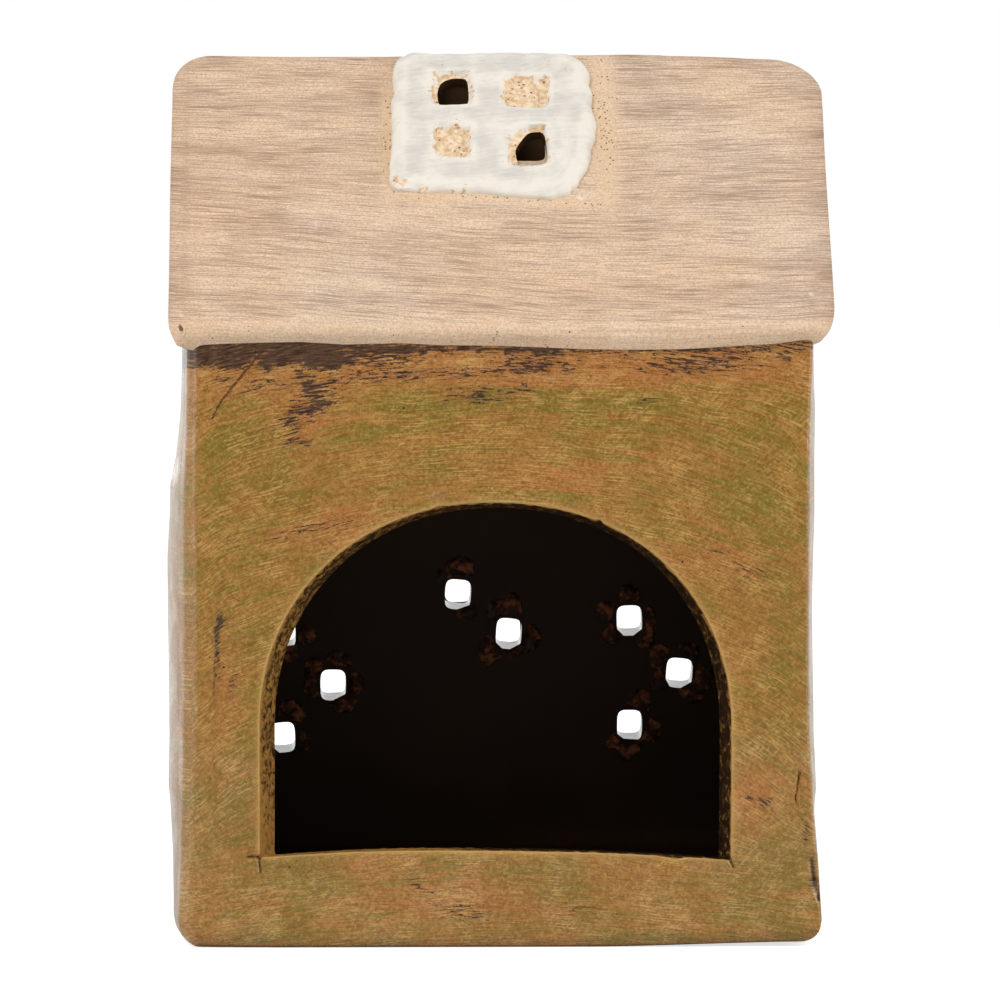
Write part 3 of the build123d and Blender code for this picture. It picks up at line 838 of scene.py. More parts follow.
def makeFrontWall():
    # a slab on a grid of x and z whose lines crowd at the holes: cells inside a hole are left out
    low, high = house["rim"], house["head"]
    left, right = house["foot"]
    xs = gridLines(left, right, 1.3, [(hole["u"], hole["half"]) for hole in holes])
    zs = gridLines(low, high, 1.3, [(hole["v"], hole["half"]) for hole in holes])
    x, z = np.meshgrid(xs, zs)
    keep = cutHoles(x, z, holes)
    sheets = []
    for depth, tall, sag in ((0.0, 1.0, 0.0), (house["wall"], panes["flare"], panes["sag"])):
        fits = [(wide, long * tall, du, dv - sag) for wide, long, du, dv in (hole["fit"] for hole in holes)]
        u, v = shapeHoles(x, z, [{**hole, "fit": fit} for hole, fit in zip(holes, fits)])
        u = u + (sideX(-1, v) - left) * soft(-36, -42, u) + (sideX(1, v) - right) * soft(36, 42, u)
        sheets.append(np.stack([u, np.full(u.shape, house["front"] - depth), v], -1))
    points = roundCorners(np.stack(sheets))
    quads, which = slabQuads(keep)
    start = points.reshape(-1, 3)[quads[:, 0]]
    hole = (which == 2) & (np.abs(start[:, 0]) < 36) & (start[:, 2] < high - 8) & (start[:, 2] > low + 2)
    paintOf = (which == 1) * 1 + hole * 2
    paints = [wallGlaze, chamberGlaze, wetGlaze]
    piece = addPiece("frontWall", points, quads, paints, paintOf, wallFields(points))
    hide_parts("front_wall")


makeFrontWall()


def underRoof(y):  # height of the roof's underside
    return house["ridge"] - house["slab"] / math.cos(house["pitch"]) - np.abs(y) * math.tan(house["pitch"])


def makeSideWall(name, node, side):
    # a gable slab: along the house one way, and from the rim up to the roof's underside the other
    reach = house["front"] - house["wall"] + 0.5
    along = np.linspace(-reach, reach, 65)
    up = np.linspace(0, 1, 97)
    y, share = np.meshgrid(along, up)
    z = house["rim"] + share * (underRoof(y) + 0.8 - house["rim"])
    tucked = 0.05 * soft(reach - 1.2, reach - 0.5, np.abs(y))  # the ends lie just under the long walls' borders
    outer = np.stack([sideX(side, z) - side * tucked, y, z], -1)
    inner = np.stack([sideX(side, z) - side * house["wall"], y, z], -1)
    points = np.stack([outer, inner])
    quads, which = slabQuads(allCells(z))
    piece = addPiece(name, points, quads, [wallGlaze, chamberGlaze], (which == 1) * 1, wallFields(points))
    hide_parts(node)


makeSideWall("leftWall", "left_wall", -1)
makeSideWall("rightWall", "right_wall", 1)

base = {
    "footRadii": ((-45, -30, 30, 43), (3.5, 2.1, 2.3, 3.0)),  # x, radius
    "coveRadius": 3.0,
    "lift": 0.55,  # the right rear corner doesn't quite reach the table
}


def makeBaseSlab():
    # a slab on a grid of x and y: the rim stands under the walls, the floor rises in a cove to them, and the
    # underside is flat but for the rounded foot
    x1, y1 = np.linspace(-1, 1, 141), np.linspace(-1, 1, 121)
    bend = 1.3
    x1, y1 = np.sign(x1) * (1 - (1 - np.abs(x1)) ** bend), np.sign(y1) * (1 - (1 - np.abs(y1)) ** bend)
    left, right = house["foot"]
    x, y = np.meshgrid(left + (right - left) * (x1 + 1) / 2, y1 * house["front"])
    edge = np.minimum(np.minimum(x - left, right - x), house["front"] - np.abs(y))
    cove = house["floor"] + roundOff(edge - house["wall"], base["coveRadius"])
    top = np.where(edge > house["wall"] - 0.4, cove, house["rim"])
    lift = base["lift"] * soft(12, 40, x) * soft(-20, -34, y)
    bottom = roundOff(edge, np.interp(x, *base["footRadii"])) + lift
    points = roundCorners(np.stack([np.stack([x, y, top], -1), np.stack([x, y, bottom], -1)]))
    quads, which = slabQuads(allCells(x))
    piece = addPiece("baseSlab", points, quads, [wallGlaze, chamberGlaze], (which == 0) * 1, wallFields(points))
    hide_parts("base_slab")


makeBaseSlab()

roof = {
    "length": 53.95,  # ridge to eave along the slope
    "left": (44.4, 44.7),  # half widths at the ridge and at the eave
    "right": (45.0, 45.0),
    "crestSoftness": 0.6,
    "gridStep": 0.85,
    "closeBorder": 3.2,  # width of the close lines along the borders
    "waver": (0.12, 17),  # of the top: height and length
    "leftCorner": (3.4, 3.4),  # ends of the ridge seen from the rear: across and down
    "rightCorner": (6.6, 4.2),
    "crestLine": (  # x, higher
        (-46, -37, -32, -26, -16, 13, 22, 28, 32.5, 35, 38, 45),
        (0.0, 0.0, -0.15, -0.24, -0.32, 0.0, -0.1, -0.24, -0.4, -0.55, -0.65, -0.6),
    ),
    "eaveCorners": ((5.2, 1.9), (7.0, 2.6)),  # left and right: how far from the eave its ends draw in, how much
    "underDraw": (4.6, 3.2),  # how much more they do on the underside, left and right
    "vergeRounds": (2.4, 2.5),  # left and right
    "eaveRounds": ((-45, -6, 9, 45), (1.7, 1.5, 0.9, 0.9)),  # x, radius
    "underRound": 0.8,
    "crease": (0.25, 0.35),  # along the top of the eave's right half: depth and width
    "eaveLine": (  # x, further down the slope
        (-46, -43, -37.5, -27, -21, -13.6, -8.3, 0, 8, 13, 18.6, 24, 26.6, 32, 37.4, 40, 42.5),
        (0.1, 0.06, -0.08, -0.22, 0.01, -0.12, 0.1, 0.15, 0.34, 0.48, 0.57, 0.53, 0.43, 0.2, 0.01, -0.22, -0.5),
    ),
    "holeHalf": 2.3,
    "holes": [(-5.97, 8.7), (4.26, 19.4)],  # x and distance down the slope
    "smearsAndHighlights": [  # x, distance down, half length and width, tilt, strength; pale smears, and painted highlights on the eave corners
        (-25.0, 34.4, 2.6, 0.8, -72, 0.6),
        (7.8, 36.6, 2.6, 0.7, 8, 0.5),
        (11.0, 28.6, 0.8, 0.35, 25, 1.0),
        # painted highlights on the right and the left eave corner
        (41.8, 47.6, 0.8, 0.6, 60, 0.8),
        (-42.9, 51.0, 0.9, 0.5, 60, 0.6),
        (16.0, 26.5, 4.0, 0.12, -2, 0.6),
    ],
    # painted shade: dark marks at the left eave corner, where the roof's underside is shaded
    "leftCornerShades": [
        (-42.9, 53.4, 0.9, 0.35, 70, 1.0),
        (-41.2, 52.6, 0.5, 0.15, 80, 0.8),
        (-39.9, 52.5, 0.4, 0.15, 70, 0.7),
    ],
    "bareClayAndEaveLight": [
        (-14.8, 17.0, 10.0, 0.9, 90, 1.0),
        (14.6, 13.5, 13.5, 1.7, 90, 1.0),
        (-5.0, 28.6, 9.0, 0.8, 0, 0.9),
        (9.0, 29.6, 5.0, 0.7, 0, 0.9),
    ],
    "paintedLightEave": (51.8, 53.2, 0.3),  # distances down between which bare clay sets in as painted light on the eave's face, and strength
    "taupeAndShade": {"left": 0.05, "right": 0.1, "leftCreaseShade": 0.05, "ridge": 0.06, "eave": -0.24},  # how much more of it: on the verges and along the left verge's crease it is painted shade, and the less of it at the eave is painted light
    "vergeShadeFade": (5.4, 0.8),  # distances from the verge between which its painted shade sets in
}


def onSlope(x, down, height, way):
    # a point of a roof slope from its distance down the slope and its height over the slab's top, with the
    # ridge rounded by a hyperbola; way is -1 for the rear slope and 1 for the front one
    c, s = math.cos(house["pitch"]), math.sin(house["pitch"])
    y = down * c + height * s
    z = house["ridge"] - down * s + height * c
    crest = math.tan(house["pitch"]) * (np.hypot(y, roof["crestSoftness"]) - np.abs(y))
    z = z - crest * soft(-3.0, 0.0, height)
    return np.stack([x, way * y, z], -1)


def cornerCut(gap, across):  # how far an elliptical corner draws in, at a share of its length from its end
    gap = np.clip(1 - gap, 0, 1)
    return across * (1 - np.sqrt(1 - gap * gap))


def roofFields(x, down, way):
    # brush coordinates along the house, bent a little; taupe gathers at the ridge, more of it on the verges is
    # painted shade, and less of it with bare clay at the eave is painted light on the eave's face; clay is bare
    # beside and below the skylight
    place = np.stack([x, down, down * 0], -1)
    sunk = 0.5 * waves(place, 45, 31) + 0.12 * waves(place, 16, 32)
    sunk = sunk - (0.02 + 0.07 * soft(10, 30, down)) * np.minimum(x - 8, 0)
    edge = roof["right"][1] - np.abs(x)
    stroke = np.stack([x, down + sunk, way * 30 + x * 0], -1)
    more = roof["taupeAndShade"]
    # painted shade: more taupe on the rounded verges, and a darker line along the left verge's crease
    taupeAndShade = np.where(x < 0, more["left"], more["right"]) * soft(*roof["vergeShadeFade"], edge)
    taupeAndShade += more["leftCreaseShade"] * (x < 0) * np.exp(-(((edge - 2.6) / 0.5) ** 2))
    # less taupe at the eave is painted light on the eave's face
    taupeAndShade += more["ridge"] * soft(12, 0, down) + more["eave"] * soft(51.5, 53.5, down)
    bareClayAndEaveLight, smearAndHighlight, leftCornerShade = np.zeros(x.shape), np.zeros(x.shape), np.zeros(x.shape)
    if way < 0:
        bareClayAndEaveLight, smearAndHighlight, leftCornerShade = (spread(x, down, roof[key]) for key in ("bareClayAndEaveLight", "smearsAndHighlights", "leftCornerShades"))
        # bare clay along the eave: painted light on the eave's face
        low, high, strength = roof["paintedLightEave"]
        bareClayAndEaveLight += strength * soft(low, high, down)
    return {"stroke": stroke, "taupeAndShade": taupeAndShade, "bareClayAndEaveLight": (1.6 * bareClayAndEaveLight).clip(0, 1), "smearAndHighlight": smearAndHighlight, "leftCornerShade": leftCornerShade}


def makeRoofSlab(name, node, way, pierced):
    # a slab on a grid across and down the slope: the ends of ridge and eave draw in to quarter ellipses, and
    # the top drops in a quarter circle at verges and eave
    cuts = [{"u": px, "v": pd, "half": roof["holeHalf"], "turn": 0.0, "fit": (1, 1, 0, 0)} for px, pd in pierced]
    half, length = roof["right"][1], roof["length"]
    close, inner = roof["closeBorder"] * np.linspace(0, 1, 15) ** 1.3, roof["closeBorder"] + 0.1
    xs = gridLines(inner - half, half - inner, roof["gridStep"], [(cut["u"], cut["half"]) for cut in cuts])
    downs = gridLines(inner, length - inner, roof["gridStep"], [(cut["v"], cut["half"]) for cut in cuts])
    x, down = np.meshgrid(crowd(xs, -half, half, close), crowd(downs, 0, length, close))
    keep = cutHoles(x, down, cuts)
    square = np.abs(x) / half
    x, down = shapeHoles(x, down, cuts, 5.0)
    drop = down * math.sin(house["pitch"])
    reach = np.where(x < 0, np.interp(down, [0, length], roof["left"]), np.interp(down, [0, length], roof["right"]))
    for across, tall, side in ((*roof["leftCorner"], -1), (*roof["rightCorner"], 1)):
        reach = reach - np.where(side * x > 0, cornerCut(drop / tall, across), 0)
    for (tall, across), side in zip(roof["eaveCorners"], (-1, 1)):
        reach = reach - np.where(side * x > 0, cornerCut((length - down) / tall, across), 0)
    x = x * (1 + (reach / half - 1) * soft(0.5, 1, square))
    toSide, toEave = np.minimum(half * (1 - square), reach), length - down
    sheets, fields = [], []
    for level, sign in ((0, -1), (-house["slab"], 1)):
        verge, eave = roof["underRound"], roof["underRound"]
        if sign < 0:
            verge, eave = np.where(x < 0, *roof["vergeRounds"]), np.interp(x, *roof["eaveRounds"])
        inset = roundOff(toSide, verge) + roundOff(toEave, eave)
        height = level + sign * np.minimum(inset, 3.0)
        wide, along, brushX, brushDown = x, down, x, down + inset
        if sign > 0:  # the underside starts where it meets the other slope's, and is narrower at the eave
            start = house["slab"] * math.tan(house["pitch"])
            along = start + down * (1 - start / length)
            draw = np.where(x < 0, *roof["underDraw"]) / half
            wide = x * (1 - draw * soft(0.5, 1, square) * soft(length - 14, length, down))
            brushX = x + np.sign(x) * house["slab"] * soft(0.8, 1, square)
            brushDown = along + house["slab"] * soft(length - 8, length, along)
        place = np.stack([x, along, x * 0], -1)
        further = np.interp(x, *roof["eaveLine"]) * soft(30, length, along)
        painted = roofFields(brushX, brushDown, way)
        if sign < 0:
            (size, long), (deep, broad) = roof["waver"], roof["crease"]
            height = height + size * waves(place, long, 42 + way)
            crease = np.exp(-(((length - eave * 0.8 - down) / broad) ** 2)) * (way < 0)
            crease = crease * soft(7, 12, x) * soft(42, 36, x)
            height = height - deep * crease
            # more taupe along the crease is painted shade in it
            painted["taupeAndShade"] = painted["taupeAndShade"] + 0.5 * crease
        sheets.append(onSlope(wide, along + further, height, way))
        if sign < 0:
            sheets[-1][..., 2] += np.interp(x, *roof["crestLine"]) * soft(12, 0, down)
        fields.append(painted)
    points = np.stack(sheets)
    merged = {key: np.stack([fields[0][key], fields[1][key]]) for key in fields[0]}
    quads, which = slabQuads(keep)
    startX, startDown = (np.stack([v, v]).ravel()[quads[:, 0]] for v in (x, down))
    hole = (which == 2) & (np.abs(startX) < half - 12) & (startDown > 2) & (startDown < length - 5)
    paintOf = ((which == 1) | hole) * 1
    piece = addPiece(name, points, quads, [roofSlip, chamberGlaze], paintOf, merged, 50, sides=False)
    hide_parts(node)


makeRoofSlab("roofRearSlab", "roof_rear_slab", -1, roof["holes"])
makeRoofSlab("roofFrontSlab", "roof_front_slab", 1, [])


relief = {
    "gridStep": 0.45,
    "closeBorder": 2.0,
    "lipPlace": (1.5, 0.7),  # distance from the border, and width
    "lumpLengths": (8, 2.2),
    "footing": 0.25,  # how deep it sits in what carries it
}


def makeRelief(name, node, shape, toHouse, sides):
    # a raised frame: a grid whose corners draw in to quarter circles and whose edges run out or in, its
    # height a cushion that drops in a quarter circle at the border and steps down into each pane
    halfU, halfV, thick = shape["halfU"], shape["halfV"], shape["thick"]
    pane = shape["paneHalf"]
    close, inner = relief["closeBorder"] * np.linspace(0, 1, 13) ** 1.25, relief["closeBorder"] + 0.1
    us = gridLines(inner - halfU, halfU - inner, relief["gridStep"], [(hole["u"], pane) for hole in shape["panes"]])
    vs = gridLines(inner - halfV, halfV - inner, relief["gridStep"], [(hole["v"], pane) for hole in shape["panes"]])
    u, v = np.meshgrid(crowd(us, -halfU, halfU, close), crowd(vs, -halfV, halfV, close))
    cuts = [{**hole, "half": pane} for hole in shape["panes"]]
    keep = cutHoles(u, v, [cut for cut in cuts if cut["through"]])
    toEdge = np.minimum(halfU - np.abs(u), halfV - np.abs(v))
    place = np.stack([u, v, u * 0 + shape["seed"]], -1)
    long, short = relief["lumpLengths"]
    height = thick - roundOff(toEdge, shape["edgeRound"]) + shape["lumps"] * waves(place, long, shape["seed"] + 1)
    height = height + 0.4 * shape["lumps"] * waves(place, short, shape["seed"] + 2)
    middle, width = relief["lipPlace"]
    height = height + shape["lip"] * np.exp(-(((toEdge - middle) / width) ** 2))
    clay = spread(u, v, shape["chips"])
    height = height * (1 - shape["thinFoot"] * soft(-0.35, -1, v / halfV)) - 0.5 * clay
    # rim: a painted highlight along the raised border, left off at the upper border, and round each pane
    rim = soft(2.6, 1.6, toEdge) - 1.6 * soft(halfV - 3, halfV - 0.5, v)
    for cut in cuts:
        lipU, lipV, grow = cut.get("lip", (0, 0, 0))
        fromPane = np.maximum(np.abs(u - cut["u"] - lipU), np.abs(v - cut["v"] - lipV)) - grow
        fromPane = fromPane + 0.12 * waves(place, 1.6, shape["seed"] + 3)
        recess = shape["recess"][0 if cut["through"] else 1]
        height = height - recess * (1 - soft(pane - 0.25, pane + 0.35, fromPane))
        clay = np.maximum(clay, 1 - soft(pane - 0.9, pane + 0.8, fromPane))
        rim = np.maximum(rim, 1 - soft(pane + 0.4, pane + 1.6, fromPane))
    u, v = shapeHoles(u, v, cuts, 5.0)
    outU, outV = u.copy(), v.copy()
    for (wayU, wayV), size in shape["corners"].items():
        p, q = wayU * u - (halfU - size), wayV * v - (halfV - size)
        inside = (p > 0) & (q > 0)
        pull = 1 - np.maximum(p, q) / np.maximum(np.hypot(p, q), 1e-9)
        outU -= np.where(inside, wayU * p * pull, 0)
        outV -= np.where(inside, wayV * q * pull, 0)
    for way, key in ((-1, "leftRun"), (1, "rightRun")):
        outU += way * np.interp(v, *shape[key]) * soft(0.6, 1, way * u / halfU)
    for way, key in ((-1, "lowRun"), (1, "highRun")):
        outV += way * np.interp(u, *shape[key]) * soft(0.6, 1, way * v / halfV)
    ragged = shape["ragged"] * soft(0.8, 1, np.maximum(np.abs(u) / halfU, np.abs(v) / halfV))
    outU += ragged * waves(place, 2.6, shape["seed"] + 4)
    outV += ragged * waves(place, 2.6, shape["seed"] + 5)
    points = np.stack([toHouse(outU, outV, height), toHouse(outU, outV, height * 0 - relief["footing"])])
    stroke = np.stack([u + 0.3 * v, v - 0.15 * u + 0.5 * waves(place, 11, 3), u * 0], -1)
    fields = {"stroke": np.stack([stroke, stroke]), "clay": np.stack([clay, clay]), "rim": np.stack([rim, rim])}
    quads, which = slabQuads(keep)
    start = np.abs(np.stack([u / halfU, v / halfV])).max(0).ravel()
    hole = (which == 2) & (np.tile(start, 2)[quads[:, 0]] < 0.9)
    piece = addPiece(name, points, quads, [whiteSlip, wetGlaze], hole * 1, fields, 55, sides)
    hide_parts(node)


skylight = {
    "x": -0.57,
    "down": 14.6,
    "halfU": 13.65,
    "halfV": 13.1,
    "thick": 2.0,
    "edgeRound": 1.6,
    "ragged": 0.22,
    "lumps": 0.1,
    "lip": 0.08,  # the slip gathers inside the border
    "paneHalf": 2.25,
    "recess": (0.7, 0.9),  # of the punched and of the blind panes
    "panes": [
        {"u": -5.4, "v": 5.3, "through": True, "turn": 0.04, "fit": (0.95, 1.2, 0.1, -0.1),
         "nick": 0.45, "lip": (-0.1, 0.3, 0.45)},  # filled corner; bare clay round the hole: shifts and growth
        {"u": 4.75, "v": 4.9, "through": False, "turn": -0.06, "fit": (1.28, 1.3, 0.0, 0.0)},
        {"u": -5.45, "v": -4.75, "through": False, "turn": -0.05, "fit": (1.04, 1.22, 0.0, 0.0)},
        {"u": 4.83, "v": -5.7, "through": True, "turn": 0.1, "fit": (0.95, 1.35, 0.3, -0.1),
         "nick": 0.85, "lip": (-0.4, 0.3, 0.5)},
    ],
    "corners": {(-1, 1): 3.2, (1, 1): 4.2, (1, -1): 6.6, (-1, -1): 1.4},
    "leftRun": ((-13, 0, 13), (0.4, 0.1, -0.4)),
    "rightRun": ((-13, -9, -5, -0.5, 3, 13), (-0.7, -0.5, -0.2, 0.8, 0.0, -0.3)),
    "lowRun": ((-13, -8, 0, 4, 7, 10, 14), (-0.4, 0.0, 0.5, 1.2, 1.5, 1.4, 0.9)),
    "highRun": ((-13, 13), (0.0, 0.0)),
    "thinFoot": 0.45,  # the slip runs out thin at the lower border
    "chips": [
        (-12.3, -12.0, 1.2, 0.7, -10, 1.0),
        (-9.6, -12.8, 1.0, 0.3, 0, 0.7),
        (-3.0, -13.2, 2.0, 0.25, 0, 0.6),
    ],
    "seed": 4,
}
makeRelief(
    "skylightFrame",
    "skylight_frame",
    skylight,
    lambda u, v, height: onSlope(skylight["x"] + u, skylight["down"] - v, height, -1),
    False,
)

windows = {
    "border": 2.6,
    "paneHalf": 1.9,
    "thick": 1.4,
    "edgeRound": 0.9,
    "ragged": 0.1,
    "lumps": 0.06,
    "lip": 0.05,
    "recess": (0.4, 0.8),
    "thinFoot": 0.0,
    "chips": [],
    "corners": {(-1, 1): 1.5, (1, 1): 1.8, (1, -1): 1.6, (-1, -1): 1.4},
    **{key: ((-13, 0, 13), (0.0, 0.15, 0.0)) for key in ("leftRun", "rightRun", "lowRun", "highRun")},
}


def makeWindow(name, node, key, seed):
    x, z, across, up, columns, rows = panes[key]
    px, pz, punched = paneMiddles(*panes[key])
    lights = [{"u": a - x, "v": b - z, "through": bool(c)} for a, b, c in zip(px, pz, punched)]
    shape = {
        "halfU": (columns - 1) * across / 2 + windows["paneHalf"] + windows["border"],
        "halfV": (rows - 1) * up / 2 + windows["paneHalf"] + windows["border"],
        "panes": [{**light, "turn": 0.03, "fit": (1, 1, 0, 0)} for light in lights],
        "seed": seed,
        **windows,
    }
    makeRelief(
        name, node, shape, lambda u, v, height: np.stack([x + u, house["front"] + height, z + v], -1), True
    )


makeWindow("leftWindowFrame", "left_window_frame", "left", 5)
makeWindow("rightWindowFrame", "right_window_frame", "right", 6)

door = {
    "x": -0.75,
    "foot": 4.9,
    "half": 7.6,
    "height": 44.0,
    "thick": 0.8,
    "planks": 3,
    "groove": (0.5, 0.28),  # depth and width
    "groovesUpTo": (34, 35.5),  # heights between which they run out, below the lights
}


def makeDoorLeaf():
    # a thin slab on a grid of x and z with plank grooves worked into its height, and its lights cut out
    px, pz = paneMiddles(*panes["door"])[:2]
    half = panes["half"]
    lights = [{"u": x, "v": z, "half": half, "turn": 0.0, "fit": (1, 1, 0, 0)} for x, z in zip(px, pz)]
    xs = gridLines(door["x"] - door["half"], door["x"] + door["half"], 0.22, [(x, half) for x in px])
    zs = gridLines(door["foot"], door["foot"] + door["height"], 0.8, [(z, half) for z in pz])
    x, z = np.meshgrid(xs, zs)
    keep = cutHoles(x, z, lights)
    x, z = shapeHoles(x, z, lights)
    plank = (x - door["x"]) / (2 * door["half"]) * door["planks"] + door["planks"] / 2
    fromJoint = np.abs(plank - np.round(plank)) * 2 * door["half"] / door["planks"]
    joint = (np.round(plank) > 0) & (np.round(plank) < door["planks"])
    deep, width = door["groove"]
    groove = deep * np.exp(-((fromJoint / width) ** 2)) * joint * (1 - soft(*door["groovesUpTo"], z))
    height = door["thick"] - groove + 0.06 * waves(np.stack([x, z, x * 0], -1), 7, 51)
    outer = np.stack([x, house["front"] + height, z], -1)
    inner = np.stack([x, np.full(x.shape, house["front"] - 0.2), z], -1)
    points = np.stack([outer, inner])
    quads = slabQuads(keep)[0]
    piece = addPiece("doorLeaf", points, quads, [doorGlaze], None, {"stroke": points}, 50)
    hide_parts("door_leaf")


makeDoorLeaf()

surround = {"width": 2.4, "thick": 1.45}


def makeDoorSurround():
    # two posts and a lintel in one: a section carried up one side, over the door and down the other
    inner = door["half"]
    path = np.concatenate([np.linspace(0, 1, 60), np.linspace(1, 2, 30)[1:], np.linspace(2, 3, 60)[1:]])
    share = np.linspace(0, 2 * np.pi, 29)[:-1]
    power = 0.45  # a rounded rectangular section
    across = np.sign(np.cos(share)) * np.abs(np.cos(share)) ** power / 2 + 0.5
    rise = (np.sign(np.sin(share)) * np.abs(np.sin(share)) ** power / 2 + 0.5) * (surround["thick"] + 0.3) - 0.3
    offset = (inner + surround["width"] * across)[:, None]
    side = np.interp(path, [0, 1, 2, 3], [-1, -1, 1, 1])
    lift = np.interp(path, [0, 1, 2, 3], [0, 1, 1, 0])
    x = door["x"] + side * offset
    z = door["foot"] + lift * (door["height"] + offset - inner)
    y = house["front"] + rise[:, None] + x * 0
    points = np.stack([x, y, z], -1)
    points[..., 1] += 0.06 * waves(points, 8, 61)
    i = np.arange(x.size).reshape(x.shape)
    j = np.roll(i, -1, 0)
    quads = [np.stack([i[:, :-1], j[:, :-1], j[:, 1:], i[:, 1:]], -1).reshape(-1, 4)]
    count = len(share) // 2
    for column in (0, -1):  # both feet are closed with strips across the section
        ring, back = i[:, column], i[::-1, column]
        strip = np.stack([ring[: count - 1], ring[1:count], back[1:count], back[: count - 1]], -1)
        quads.append(strip if column else strip[:, ::-1])
    stroke = np.stack([z, x, y], -1)
    fields = {"stroke": stroke, "clay": x * 0}
    piece = addPiece("doorSurround", points, np.concatenate(quads), [whiteSlip], None, fields, 50)
    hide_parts("door_surround")


makeDoorSurround()

step = {"half": 12.0, "deep": 1.45, "low": 0.5, "high": 4.9, "round": 0.8}


def makeDoorstep():
    # a block as a slab whose face drops in a quarter circle at its borders
    close = np.linspace(0, 0.8, 8)
    halfZ = (step["high"] - step["low"]) / 2
    us = crowd(np.linspace(-11, 11, 40), -step["half"], step["half"], close)
    vs = crowd(np.linspace(-1.3, 1.3, 8), -halfZ, halfZ, close)
    u, v = np.meshgrid(us, vs)
    x, z = door["x"] + u, step["low"] + halfZ + v
    toEdge = np.minimum(step["half"] - np.abs(u), halfZ - np.abs(v))
    height = step["deep"] - roundOff(toEdge, step["round"]) + 0.07 * waves(np.stack([x, z, x * 0], -1), 6, 71)
    front = house["front"]
    points = np.stack([np.stack([x, front + height, z], -1), np.stack([x, x * 0 + front - 0.3, z], -1)])
    quads = slabQuads(allCells(x))[0]
    stroke = points[..., [0, 2, 1]]
    blank = np.zeros(points.shape[:-1])
    fields = {"stroke": stroke, "taupeAndShade": blank, "bareClayAndEaveLight": blank, "smearAndHighlight": blank, "leftCornerShade": blank}
    piece = addPiece("doorstep", points, quads, [roofSlip], None, fields, 50)
    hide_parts("doorstep")


makeDoorstep()

knob = {"x": 4.8, "z": 23.4, "radius": 0.9, "neck": 0.5, "reach": 0.65}


def makeDoorKnob():
    # a profile turned round the knob's axis: a neck, then a flattened ball
    turn = np.linspace(0, 2 * np.pi, 33)[:-1]
    bead = np.linspace(-0.9, 1.5, 14)
    radius = np.concatenate([[0.02, knob["neck"], knob["neck"]], knob["radius"] * np.cos(bead)])
    reach = np.concatenate([[-0.2, -0.2, 0.15], 0.6 + 0.4 * np.sin(bead)]) * knob["reach"]
    x = knob["x"] + radius[:, None] * np.cos(turn)
    z = knob["z"] + radius[:, None] * np.sin(turn)
    y = house["front"] + door["thick"] + reach[:, None] + x * 0
    points = np.stack([x, y, z], -1)
    i = np.arange(x.size).reshape(x.shape)
    k = np.roll(i, -1, 1)
    quads = np.stack([i[:-1], i[1:], k[1:], k[:-1]], -1).reshape(-1, 4)
    piece = addPiece("doorKnob", points, quads, [whiteSlip], None, {"stroke": points, "clay": x * 0}, 60)
    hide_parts("door_knob")


makeDoorKnob()

burrs = {
    "length": (2.6, 0.6, 1.3),  # usual one, and the shares of it between which it varies
    "width": (3.6, 0.7, 1.15),
    "rise": (0.7, 0.4, 1.2),
    "thick": 0.5,
    "perHole": 5,
    "missing": 0.15,  # share that broke off
    "start": 1.3,  # from the hole's middle, in its half widths
}


def makeBurrs():
    # torn lips of clay round the punched holes, on the inner face: each a small tongue, along and across,
    # with a round ragged tip, that arches off the wall and comes down on it
    rng = np.random.default_rng(17)
    a, b = np.meshgrid(np.linspace(0, 0.98, 11), np.linspace(-1, 1, 9), indexing="ij")
    wallFace = house["front"] - house["wall"]
    blocks, faces = [], []
    quads = slabQuads(allCells(a))[0]
    for hole in holes:
        for k in range(burrs["perHole"]):
            if rng.random() < burrs["missing"]:
                continue
            way = hole["turn"] + (k + rng.uniform(-0.3, 0.3)) * 2 * np.pi / burrs["perHole"]
            sizes = (burrs[key] for key in ("length", "width", "rise"))
            length, width, lift = (usual * rng.uniform(least, most) for usual, least, most in sizes)
            rag = waves(np.stack([a * 6, b * 5, a * 0 + 40 * k + hole["u"]], -1), 3, 90)
            along = hole["half"] * burrs["start"] + (a + 0.1 * rag * a) * length
            across = b * width / 2 * np.sqrt(1 - a**2.6) * (1 + 0.15 * rag) + 0.5 * rng.uniform(-1, 1) * a**2
            off = 0.2 + lift * np.sin(np.pi * np.minimum(a * 0.9 + 0.1, 1)) - 0.3 * b**2
            c, s = math.cos(way), math.sin(way)
            x, z = hole["u"] + along * c - across * s, hole["v"] + along * s + across * c
            upper = np.stack([x, wallFace - off, z], -1)
            lower = np.stack([x, wallFace - off + burrs["thick"], z], -1)
            faces.append(quads + sum(len(block) for block in blocks))
            blocks.append(np.stack([upper, lower]).reshape(-1, 3))
    piece = addPiece("punchBurrs", np.concatenate(blocks), np.concatenate(faces), [burrClay], None, None, 60)


makeBurrs()

# Pale floor, white for the eye but keeping the shadow, and soft studio light with a dark side at the camera
studio = {"floorNear": -0.45, "floorFar": 3.0, "floorHalf": 1.6, "fill": 0.5, "floorGlow": 0.7, "sweepGlow": 0.4}


